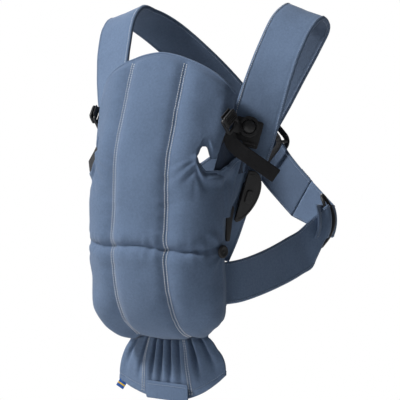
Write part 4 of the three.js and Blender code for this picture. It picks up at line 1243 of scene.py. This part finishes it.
def head_buckles():
    """The button plate, dome button, hook plate with its ladder frame, and the ribbed lever."""
    f = strap_frame_at(BUCKLE_HEIGHT)
    left = DOME_X - 19
    base = plate([rounded_rect(left, -27, left + 38, 11, 3)], PLATE_BOTTOM, PLATE_TOP, 0.7)
    ridge = rounded_bar(27, 3.4, 3.6, (DOME_X + 2, -21.5, PLATE_TOP + 0.9))
    hard_pair("button_base", [base, ridge], f, "harness", ["button_plate_{}"])

    octagon = [(DOME_X + 15.5 * math.cos(a), 15.5 * math.sin(a)) for a in
               np.linspace(math.pi / 8, 2 * math.pi + math.pi / 8, 8, endpoint=False)]
    rounded = []
    for k, corner in enumerate(octagon):
        before, after = np.array(octagon[k - 1]), np.array(octagon[(k + 1) % 8])
        here = np.array(corner)
        for t in np.linspace(0, 1, 5):
            enter, leave = mix(here, before, 0.3), mix(here, after, 0.3)
            rounded.append(tuple((1 - t) ** 2 * enter + 2 * t * (1 - t) * here + t**2 * leave))
    head = plate([rounded, round_outline(DOME_X, 0, 9.9)[::-1]], HOOK_BOTTOM, HOOK_TOP - 0.6, 0.8)
    rim = moved(
        turned([(9.9, HOOK_BOTTOM + 1), (11.6, HOOK_BOTTOM + 1), (11.6, HOOK_TOP - 0.7),
                (11.2, HOOK_TOP - 0.2), (10.3, HOOK_TOP - 0.2), (9.9, HOOK_TOP - 0.6)]),
        lambda p: p + (DOME_X, 0, 0),
    )
    rim = (rim[0], rim[1][:-2] + ring_closing(6, 48))
    ladder = plate(
        [rounded_rect(-13, -13, 13, 13, 3.4), rounded_rect(-9, 1, 9, 9, 1.2)[::-1],
         rounded_rect(-9, -9, 9, -2, 1.2)[::-1]],
        0, 4, 0.9,
    )
    neck = rounded_bar(16, 15, 3.6, (0, 0, 0))
    neck = moved(neck, lambda p: turned_by(p, "Y", ADJUSTER_LEAN) + ADJUSTER_AT + (12, -3, -9.4))
    hard_pair("hook", [head, rim, moved(ladder, in_adjuster), neck], f, "head_support", ["hook_plate_{}"])

    low, high, rise = HOOK_BOTTOM + 2.2, HOOK_BOTTOM + 3.6, 5.2
    dome = [(8.8, low), (9.2, low + 0.3), (9.2, high - 0.3), (9, high)]
    dome += [(9 * math.cos(a), high + rise * math.sin(a)) for a in np.linspace(0.1, 1.52, 12)]
    dome_part = moved(turned(dome), lambda p: p + (DOME_X, 0, 0))
    hard_pair("dome", [dome_part], f, "button_{}", ["dome_button_{}"])

    level = 4.5
    lever = [plate([rounded_rect(-12.5, 0, 12.5, 17, 4.5)], level, level + 3.4, 1.2)]
    lever += [rounded_bar(18, 1.5, 1.8, (0, y, level + 3.6)) for y in (3, 6, 9, 12, 14.6)]
    hard_pair("lever", [moved(part, in_adjuster) for part in lever], f, "lever_{}", ["adjuster_lever_{}"])


def ring_closing(count, steps):
    """Faces that close a turned profile into a ring instead of capping it on the axis."""
    faces = []
    for k in range(steps):
        n = (k + 1) % steps
        faces.append(((count - 1) * steps + k, (count - 1) * steps + n, n, k))
    return faces


def webbing_tails():
    """The free end of the adjusting webbing, and the loop that is sewn to the head support."""
    f = strap_frame_at(BUCKLE_HEIGHT)
    path = [
        ((-33, -17, 23.6), (0.8, 0.35, -0.5), WEBBING_WIDTH, 0),
        ((-27.5, -26, 21.6), (0.74, 0.6, -0.25), WEBBING_WIDTH, 0),
        ((-15, -34, 18.6), (0.6, 0.8, 0), WEBBING_WIDTH, 0),
        ((8, -42, 14.5), (0.42, 0.9, 0), WEBBING_WIDTH, 0),
        ((46, -55, 12.4), (0.38, 0.92, 0), WEBBING_WIDTH, 0),
    ]
    grid = []
    for t in np.linspace(0, 1, 91):
        line = ribbon_frame(path, t)
        grid.append(line.origin + np.linspace(-0.5, 0.5, 21)[:, None] * line.width * line.across)
    grid = np.array(grid)
    weave = 0.05 * np.cos(np.arange(91) * math.pi)[:, None] * np.ones(21)
    rib = 0.07 * np.cos(np.linspace(-1, 1, 21) * math.pi * 10)[None, :]
    edge = 0.35 * bell(np.abs(np.linspace(-1, 1, 21)) - 0.95, 0.06)[None, :]
    normals = grid_normals(grid)
    lift = (0.7 + weave + rib - edge)[..., None]
    verts, faces = shell(grid + normals * lift, grid - normals * lift)
    for obj in pair("tail_webbing", f.at(verts), faces, WEBBING, "head_support", "black_webbing",
                    ["webbing_tail_{}"]):
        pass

    corner = np.array([[(x, y, 1.2) for x in np.linspace(-9, 9, 15)] for y in np.linspace(13, 18, 8)])
    up = np.array([0, 0, 1.0])
    verts, faces = shell(corner + up * 0.7, corner - up * 0.7)
    pair("corner_loop", f.at(in_adjuster(verts)), faces, WEBBING, "head_support", "black_webbing",
         ["corner_webbing_{}"])


def side_clasps():
    """The clasp on each strap: receiver, D-shaped cover, release tab, and the tongue on the panel."""
    f = strap_frame_at(CLASP_HEIGHT)
    face = 2.75 + 1.3
    receiver = plate([rounded_rect(5, -18, 22, 18, 4)], face, face + 4, 0.8)
    hard_pair("receiver", [receiver], f, "harness", ["clasp_receiver_{}"])
    outline = [(4, 36), (14, 37)]
    for t in np.linspace(0.05, 0.95, 19):
        a, b, c, d = (np.array(p, float) for p in ((14, 37), (38, 30), (38, -12), (14, -36)))
        outline.append(tuple((1 - t) ** 3 * a + 3 * t * (1 - t) ** 2 * b + 3 * t**2 * (1 - t) * c + t**3 * d))
    outline += [(14, -36), (8, -39), (4, -36)]
    cover = plate([outline], face + 4.5, face + 8.5, 1.4)
    rim = [(x * 0.86 + 1.6, y * 0.86, face + 8.4) for x, y in outline]
    ridge = tube(rim, circle(0.8, 8), [(0, 0, 1)] * len(rim), True)
    hard_pair("clasp_cover", [cover, ridge], f, "harness", ["side_clasp_{}"])
    tab = [plate([rounded_rect(10, -9, 20, 9, 3)], face + 8.9, face + 11, 0.8)]
    tab += [rounded_bar(6, 0.9, 0.5, (15, y, face + 11)) for y in (-3, 0, 3)]
    hard_pair("release_tab", tab, f, "release_tab_{}", ["clasp_release_tab_{}"])

    at = panel_point(QUARTER, -295.0) + (-2.5, 9, 0)
    tongue_frame = Frame(at, np.array([0, 1.0, 0]), np.array([0, 0, 1.0]), np.array([1.0, 0, 0]))
    tongue_outline = [(-5, -12), (-3, -15), (2, -15), (4, -12), (10, 12), (15, 30), (12, 33), (-5, 33)]
    tongue = plate([tongue_outline], -1.6, 1.6, 0.7)
    hard_pair("tongue", [tongue], tongue_frame, "harness", ["clasp_tongue_{}"])


LEG_BUTTON_ANGLE = 1.44
LEG_BUTTON_HEIGHT = -322.0


def leg_buttons():
    """The stud that turns on each side of the waist seam, with its inner washer."""
    out = panel_normal(LEG_BUTTON_ANGLE, LEG_BUTTON_HEIGHT)
    up = np.array([0, 0, 1.0])
    up = unit(up - out * np.dot(up, out))
    f = Frame(panel_point(LEG_BUTTON_ANGLE, LEG_BUTTON_HEIGHT), np.cross(up, out), up, out)
    profile = [(7.2, 0.8), (8.4, 1.3), (9, 2), (9, 3.4), (8.6, 4.2), (7.6, 4.8), (6.2, 4.8), (5.2, 4.1),
               (2.2, 4.0), (1.9, 4.5), (0.8, 4.7)]
    slot_bar = rounded_bar(5.5, 1.4, 0.8, (0, 0, 4.5))
    hard_pair("leg_stud", [turned(profile), slot_bar], f, "leg_button_{}", ["leg_button_{}"])
    top = -10.6
    washer = turned([(7, top - 1.6), (8, top - 1.1), (8, top - 0.4), (7.4, top)], 36)
    hard_pair("leg_washer", [washer], f, "leg_button_{}", ["leg_button_backing_{}"])


def cross_clip():
    """The diamond clip that holds the two straps where they cross: two bowed faces and their pins."""
    y0, z0 = 115, -188
    half, above, below = 54, 58, 66
    corners = [np.array(p, float) for p in ((0, z0 + above), (half, z0), (0, z0 - below), (-half, z0))]
    outline = []
    for k, corner in enumerate(corners):
        enter, leave = mix(corner, corners[k - 1], 0.16), mix(corner, corners[(k + 1) % 4], 0.16)
        for t in np.linspace(0, 1, 9):
            outline.append((1 - t) ** 2 * enter + 2 * t * (1 - t) * corner + t**2 * leave)
        following = mix(corners[(k + 1) % 4], corner, 0.16)
        outline += [mix(leave, following, t) for t in np.linspace(0, 1, 12)[1:-1]]

    def bow(height):
        return (0.002 if height > 0 else 0.001) * height**2

    gap = CROSSING_SHIFT + 2.75 + 3
    section = [(4.3 * np.sign(math.cos(a)) * abs(math.cos(a)) ** 0.5,
                1.5 * np.sign(math.sin(a)) * abs(math.sin(a)) ** 0.5)
               for a in np.linspace(0, 2 * math.pi, 20, endpoint=False)]
    for name, near, node in (("outer", y0 + gap, "cross_clip_outer"),
                             ("inner", y0 - gap - 3, "cross_clip_inner")):
        line = [(x, near + 1.5 - bow(z - z0), z) for x, z in outline]
        parts = [tube(line, section, [(0, 1, 0)] * len(line), True)]
        outward = 1 if name == "outer" else -1
        for k in range(0, len(line), 2):
            x, y, z = line[k]
            after = np.array(line[(k + 1) % len(line)]) - line[k - 1]
            turn = math.atan2(after[2], after[0]) + math.pi / 2
            rib = rounded_bar(6, 1.2, 0.9, (0, 0, 0))
            verts = turned_by(rib[0], "Y", -turn)
            parts.append((verts + (x, y + outward * 1.5, z), rib[1]))
        if name == "outer":
            for x, z in ((-half + 3.5, 0), (half - 3.5, 0), (0, -below + 6)):
                pin = turned([(1.6, -9.9), (2.4, -9.2), (2.4, 9.2), (1.6, 9.9)], 20)
                verts = turned_by(pin[0], "X", math.pi / 2) + (x, y0 + 0.9 - bow(z), z0 + z)
                parts.append((verts, pin[1]))
        verts, faces = joined(*parts)
        clip = piece(f"clip_{name}", verts, faces, PLASTIC, "harness", "black_plastic", [node])
        smooth_by_angle(clip)


# ---------------------------------------------------------------- cloth between the hard parts


def wing_point(u, share, lap_angle, depth, frames):
    """A point on the side wing: u runs back from the panel to the clasp, share up from its low end."""
    low_end, taper_start, top_back = -276, -240, -187
    lap = 0.2
    angle = mix(QUARTER - lap_angle, QUARTER, min(1, u / lap))
    rim = chest_top_edge(np.array(angle))
    past = max(0, (u - lap) / (1 - lap))
    height = mix(low_end, mix(float(rim), top_back, past**0.8), share)
    level = np.array(min(height, float(chest_top_edge(np.array(QUARTER)))))
    flare = rim_flare(np.array(angle), np.array(height))
    proud = mix(-3.2, 1.6, smooth(u / lap)) + float(flare) * (1 - past) - depth
    edge = panel_point(np.array(angle), level) + panel_normal(np.array(angle), level) * proud
    if past == 0:
        return (edge[0], edge[1], height)
    key = round(height, 1)
    if key not in frames:
        frames[key] = strap_frame_at(height)
    strap = frames[key]
    clasp = strap.origin + strap.across + strap.out * 7
    end = mix(edge + (0, 5, 0), clasp, smooth((height - low_end) / (taper_start - low_end)))
    point = mix(edge, end, past)
    crease = past - mix(0.08, 0.62, share**1.5)
    fold = 3.4 * bell(crease, 0.1) - 3.0 * bell(crease - 0.22, 0.12)
    outward = unit(np.array([end[1] - edge[1], edge[0] - end[0], 0.0]) + 1e-9)
    point = point + outward * fold * share * smooth(past * 8) * smooth((1 - past) * 5)
    return (point[0], point[1], height)


def arm_wings():
    """The side of the chest panel, lapped over its back edge and carried back to the clasp."""
    rows, columns, lap_angle = 44, 44, 0.3
    frames = {}
    grid = np.array([[wing_point(c / columns, r / rows, lap_angle, 0, frames) for c in range(columns + 1)]
                     for r in range(rows + 1)])
    outer, inner, normals = soft_strap(grid, 2.8, 3, 41, 1.3)
    wings = pair("arm_wing_cloth", *shell(outer, inner), PANEL_CLOTH, "harness", "panel_cloth",
                 ["arm_wing_{}"])
    angles = np.linspace(FOLD_ANGLE + 0.05, QUARTER - 0.12, 40)
    rim_heights = chest_top_edge(angles)
    rim_ups = panel_normal(angles, rim_heights)
    flare = rim_flare(angles, rim_heights)[:, None]
    rim = panel_point(angles, rim_heights) + rim_ups * (0.35 * flare - 1.2)
    start = int(columns * 0.16)
    line = np.concatenate([rim, grid[-1][start:]])
    ups = np.concatenate([rim_ups, normals[-1][start:]])
    line = np.concatenate([line[:1], (line[:-2] + 2 * line[1:-1] + line[2:]) / 4, line[-1:]])
    pair("arm_wing_hem", *tube(line, circle(1.7, 10), ups), PANEL_CLOTH, "harness", "panel_cloth")
    lines = [(outer[-4][start:] + normals[-4][start:] * 0.2, normals[-4][start:])]
    pair("arm_wing_stitches", *stitches(lines, *STRAP_STITCH), BLUE_THREAD, "harness", "panel_cloth")


def armhole_shade_sheets():
    """A dark sheet in the lining cloth inside each armhole, from the chest part's rim back to the strap:
    painted shade for the armhole's inside.
    """
    frames = {}
    grid = []
    for r in range(25):
        line = []
        for u in np.linspace(0, 0.96, 41):
            angle = mix(QUARTER - 0.33, QUARTER, min(1, u / 0.2))
            rim = float(chest_top_edge(np.array(angle)))
            rise = 14 * smooth((angle - 1.24) / 0.09) + 20 * smooth((angle - 1.33) / 0.06) - 1
            x, y, z = wing_point(u, 1.0, 0.33, 7, frames)
            top = max(z, rim) + rise * mix(1, 0.45, smooth((u - 0.2) / 0.8))
            line.append((x, y, mix(rim - 12, top, r / 24)))
        grid.append(line)
    outer, inner, _ = soft_strap(np.array(grid), 1.4, 2, 43, 0.6)
    # The sheet's dark lining colour paints the shade inside the armhole.
    pair("arm_wing_lining", *shell(outer, inner), LINING_CLOTH, "harness", "lining_cloth")


def crotch_and_base():
    """The lining cloth that the baby sits astride, and the band that joins the two waist belts."""
    rows = []
    for t in np.linspace(0, 1, 25):
        rows.append([(x, mix(-124, -115, math.sqrt(t)) + 2.25, mix(-441, -411, t))
                     for x in np.linspace(-50, 50, 41)])
    outer, inner, _ = soft_strap(np.array(rows), 4.5, 3, 51, 0.8)
    crotch = piece("crotch_cloth", *shell(outer, inner), LINING_CLOTH, "harness", "lining_cloth",
                   ["crotch_panel"])
    path = [
        ((-86, -112, -375), (0, 0, -1), BELT_WIDTH - 2, 0),
        ((0, -113, -378), (0, 0, -1), 50, 0),
        ((86, -112, -375), (0, 0, -1), BELT_WIDTH - 2, 0),
    ]
    grid = []
    for t in np.linspace(0, 1, 60):
        f = ribbon_frame(path, t)
        grid.append(f.origin + strap_columns(f.width / 2, 22)[:, None] * f.across)
    outer, inner, normals = soft_strap(np.array(grid), 3, 4, 61, 0.8)
    band = piece("base_band", *shell(outer, inner), STRAP_CLOTH, "harness", "strap_cloth", ["harness_base"])
    lines = hem_stitch_lines(outer, normals, 4) + hem_stitch_lines(inner, -normals, 4)
    piece("base_band_stitches", *stitches(lines, *BELT_STITCH), BLUE_THREAD, "harness", "strap_cloth")


def apron_point(u, t):
    """A point on the apron's plain surface. It hangs a little askew: lower on the wearer's right."""
    half = mix(58, 88, t**0.8)
    from_middle = np.abs(2 * u - 1)
    askew = np.where(np.asarray(u) > 0.5, 15.0, -9.0) * from_middle**2.4
    hem = APRON_HEM + 27 * from_middle**2.2 + askew
    x = mix(-half, half, u) - 4 * from_middle**4 * (np.asarray(u) < 0.5) * t
    return np.stack([x, APRON_Y - 5 + 13 * from_middle**2, mix(APRON_TOP, hem, t)], -1)


# Where each pleat's valley starts across the apron's top, how far it drifts by the hem, its depth.
PLEATS = ((0.07, -0.02, 3.5), (0.2, -0.01, 5), (0.33, 0, 7.5), (0.43, 0, 7.5), (0.535, 0, 7),
          (0.635, 0.01, 5), (0.79, 0.03, 7.5), (0.91, 0.03, 4.5))


def apron():
    """The gathered apron below the seat: pleats that fan out from its top, hem, tab and side tag."""
    rows, columns = 70, 230
    above = 8 / (APRON_TOP - APRON_HEM)
    t, u = np.meshgrid(np.linspace(-above, 1, rows + 1), np.linspace(0, 1, columns + 1), indexing="ij")
    down = np.clip(t, 0, 1)
    grid = apron_point(u, down)
    side = np.abs(2 * u - 1)
    grid[..., 2] += np.maximum(-t, 0) * (APRON_TOP - APRON_HEM) + 5 * side**3 * (1 - smooth(t * 4))
    grid[..., 0] += np.sign(u - 0.5) * side**4 * 9 * np.sin(math.pi * down**0.8)
    fold = np.zeros_like(u)
    fade = 1 - 0.93 * smooth((down - 0.25) / 0.62)
    for place, drift, depth in PLEATS:
        at = u - place - drift * down
        fold -= depth * bell(at, 0.013 + 0.012 * down) * fade
        fold += depth * 0.3 * (bell(at - 0.045, 0.026) + bell(at + 0.045, 0.026)) * fade
    fold += 2.6 * np.sin(math.pi * down) ** 1.2 * (1 - side**4)
    fold += ripple(grid * (1, 1, 0.3), 11, 71) * mix(1.0, 0.35, down) + ripple(grid, 26, 72) * 1.0
    fold = fold * mix(0.45, 1, smooth((t + above) * 9))
    hem_line = 0.8 * bell((1 - t) * 87 - 10, 1.5)
    outer = grid + np.stack([np.zeros_like(u), 2.5 * (1 - smooth((t + above) * 6)) - (fold + 1.0 - hem_line),
                             np.zeros_like(u)], -1)
    thick = 2.4 + 0.8 * ((1 - t) * 87 < 10)
    inner = outer + np.stack([np.zeros_like(u), thick, np.zeros_like(u)], -1)
    verts, faces = shell(outer, inner)
    skirt = piece("apron_cloth", verts, faces, PANEL_CLOTH, "apron", "panel_cloth", ["apron"])
    forward = np.array([0, -1.0, 0])
    lines = []
    for place, lean in ((0.22, 0.035), (0.72, 0.0)):
        for gap in (-0.011, 0.011):
            points = []
            for r in range(2, rows - 1):
                at = place + lean * r / rows + gap
                points.append([np.interp(at, u[r], outer[r, :, k]) for k in range(3)])
            lines.append((np.array(points) + forward * 0.2, np.tile(forward, (len(points), 1))))
    hem_row = outer[rows - 8] + forward * 0.2
    hem = [(hem_row, np.tile(forward, (len(hem_row), 1)))]
    piece("apron_stitches", *stitches(lines, *APRON_STITCH), PALE_THREAD, "apron", "panel_cloth")
    piece("apron_hem_stitches", *stitches(hem, *HEM_STITCH), BLUE_THREAD, "apron", "panel_cloth")

    tab_face = APRON_Y - 5 - 4.2
    tab = plate([rounded_rect(-33, -13, 37, 12, 3)], 0, 2, 0.7)
    tab_verts = turned_by(tab[0], "X", math.pi / 2) + (0, tab_face, APRON_HEM + 13.5)
    piece("apron_tab_cloth", tab_verts, tab[1], PANEL_CLOTH, "apron", "panel_cloth", ["apron_tab"])
    row = np.array([(x, tab_face - 2.2, APRON_HEM + 21) for x in np.linspace(-31, 35, 30)])
    piece("apron_tab_stitches", *stitches([(row, np.tile((0, -1.0, 0), (30, 1)))], *TAB_STITCH),
          BLUE_THREAD, "apron", "panel_cloth")
    side_tag()


def side_tag():
    """A small woven label folded over the apron's hem: plain blue with one yellow stripe."""
    tag = plate([rounded_rect(-6, -6, 6, 6, 0.7)], -0.4, 0.4, 0.25)
    stripe = plate([rounded_rect(-6, -1.1, 6, 1.1, 0.1)], -0.5, 0.5, 0.05)
    end = apron_point(np.array(0.03), np.array(1.0))

    def placed(part):
        verts = turned_by(turned_by(part[0], "Z", -0.55), "X", math.pi / 2)
        return turned_by(verts, "Z", 0.3) + end + (-2, 0.5, -5)

    piece("tag_cloth", placed(tag), tag[1], TAG_BLUE, "apron", "tag_cloth", ["side_tag"])
    piece("tag_stripe", placed(stripe), stripe[1], TAG_YELLOW, "apron", "tag_cloth")


# ---------------------------------------------------------------- room, lights and camera


def room():
    """A pale floor below the hanging carrier. It brightens outwards, so that it has no visible end."""
    material, nodes, links, shader = node_material("pale_floor")
    shader.inputs["Base Color"].default_value = (0.8, 0.8, 0.8, 1)
    shader.inputs["Roughness"].default_value = 0.9
    place = add_node(nodes, "ShaderNodeTexCoord").outputs["Object"]
    reach = add_node(nodes, "ShaderNodeVectorMath", operation="LENGTH")
    links.new(place, reach.inputs[0])
    fade = add_node(nodes, "ShaderNodeMapRange", interpolation_type="SMOOTHSTEP")
    fade.inputs["From Min"].default_value = 0.3
    fade.inputs["From Max"].default_value = 1.9
    links.new(reach.outputs["Value"], fade.inputs["Value"])
    path = nodes.new("ShaderNodeLightPath")
    shown = combine(nodes, links, "MULTIPLY", fade.outputs["Result"], path.outputs["Is Camera Ray"])
    white = add_node(nodes, "ShaderNodeEmission", Strength=1.0)
    either = nodes.new("ShaderNodeMixShader")
    links.new(shown, either.inputs[0])
    links.new(shader.outputs[0], either.inputs[1])
    links.new(white.outputs[0], either.inputs[2])
    links.new(either.outputs[0], nodes["Material Output"].inputs["Surface"])
    half = 14.0
    floor = -1.0
    verts = [(-half, -half, 0), (half, -half, 0), (half, half, 0), (-half, half, 0)]
    mesh = bpy.data.meshes.new("floor")
    mesh.from_pydata(verts, [], [(0, 1, 2, 3)])
    mesh.materials.append(material)
    obj = bpy.data.objects.new("floor", mesh)
    obj.location = (0, 0, floor)
    bpy.context.scene.collection.objects.link(obj)


def area_light(name, place, target, size, power):
    light = bpy.data.lights.new(name, "AREA")
    light.shape = "DISK"
    light.size = size
    light.energy = power
    obj = bpy.data.objects.new(name, light)
    bpy.context.scene.collection.objects.link(obj)
    back = (Vector(place) - Vector(target)).normalized()
    obj.rotation_euler = back.to_track_quat("Z", "Y").to_euler()
    obj.location = place


def lights():
    """A large key from the upper left, weak fill, and a white room that the camera sees directly."""
    world = bpy.data.worlds.new("studio")
    world.use_nodes = True
    nodes, links = world.node_tree.nodes, world.node_tree.links
    nodes["Background"].inputs["Color"].default_value = (0.95, 0.97, 1, 1)
    nodes["Background"].inputs["Strength"].default_value = 0.13
    seen = add_node(nodes, "ShaderNodeBackground", Strength=1.0)
    seen.inputs["Color"].default_value = (1, 1, 1, 1)
    either = nodes.new("ShaderNodeMixShader")
    path = nodes.new("ShaderNodeLightPath")
    links.new(path.outputs["Is Camera Ray"], either.inputs[0])
    links.new(nodes["Background"].outputs[0], either.inputs[1])
    links.new(seen.outputs[0], either.inputs[2])
    links.new(either.outputs[0], nodes["World Output"].inputs[0])
    bpy.context.scene.world = world
    bpy.context.scene.view_settings.view_transform = "Standard"
    middle = (0, -0.05, -0.25)
    area_light("key", (-1.8, -1.85, 2.35), middle, 0.6, 154)
    area_light("fill", (-0.8, -2.5, -0.9), middle, 1.2, 17)
    area_light("rim", (-1.9, 2.3, 1.2), middle, 1.0, 48)


CAMERA_AZIMUTH = math.radians(32)
CAMERA_ELEVATION = math.radians(5.5)
CAMERA_DISTANCE = 2.4
CAMERA_LENS = 148.97


# The middle of the view, in metres from the frame's origin.
AIM_RIGHT = -0.02175
AIM_UP = -0.26825


def camera():
    a, e = CAMERA_AZIMUTH, CAMERA_ELEVATION
    back = Vector((math.sin(a) * math.cos(e), -math.cos(a) * math.cos(e), math.sin(e)))
    right = Vector((math.cos(a), math.sin(a), 0))
    up = back.cross(right)
    aim = right * AIM_RIGHT + up * AIM_UP
    data = bpy.data.cameras.new("camera")
    data.lens = CAMERA_LENS
    data.sensor_width = 36
    obj = bpy.data.objects.new("camera", data)
    obj.matrix_world = Matrix((right, up, back)).transposed().to_4x4()
    obj.location = aim + back * CAMERA_DISTANCE
    bpy.context.scene.collection.objects.link(obj)
    bpy.context.scene.camera = obj


# ---------------------------------------------------------------- the whole carrier

room()
lights()
camera()
_, high_grid, low_face, high_face = front_panel()
panel_stitches(low_face, high_face)
hem_roll(high_grid, high_face)
shoulder_straps()
loops_and_belts()
side_rings()
head_buckles()
webbing_tails()
side_clasps()
leg_buttons()
cross_clip()
arm_wings()
armhole_shade_sheets()
crotch_and_base()
apron()
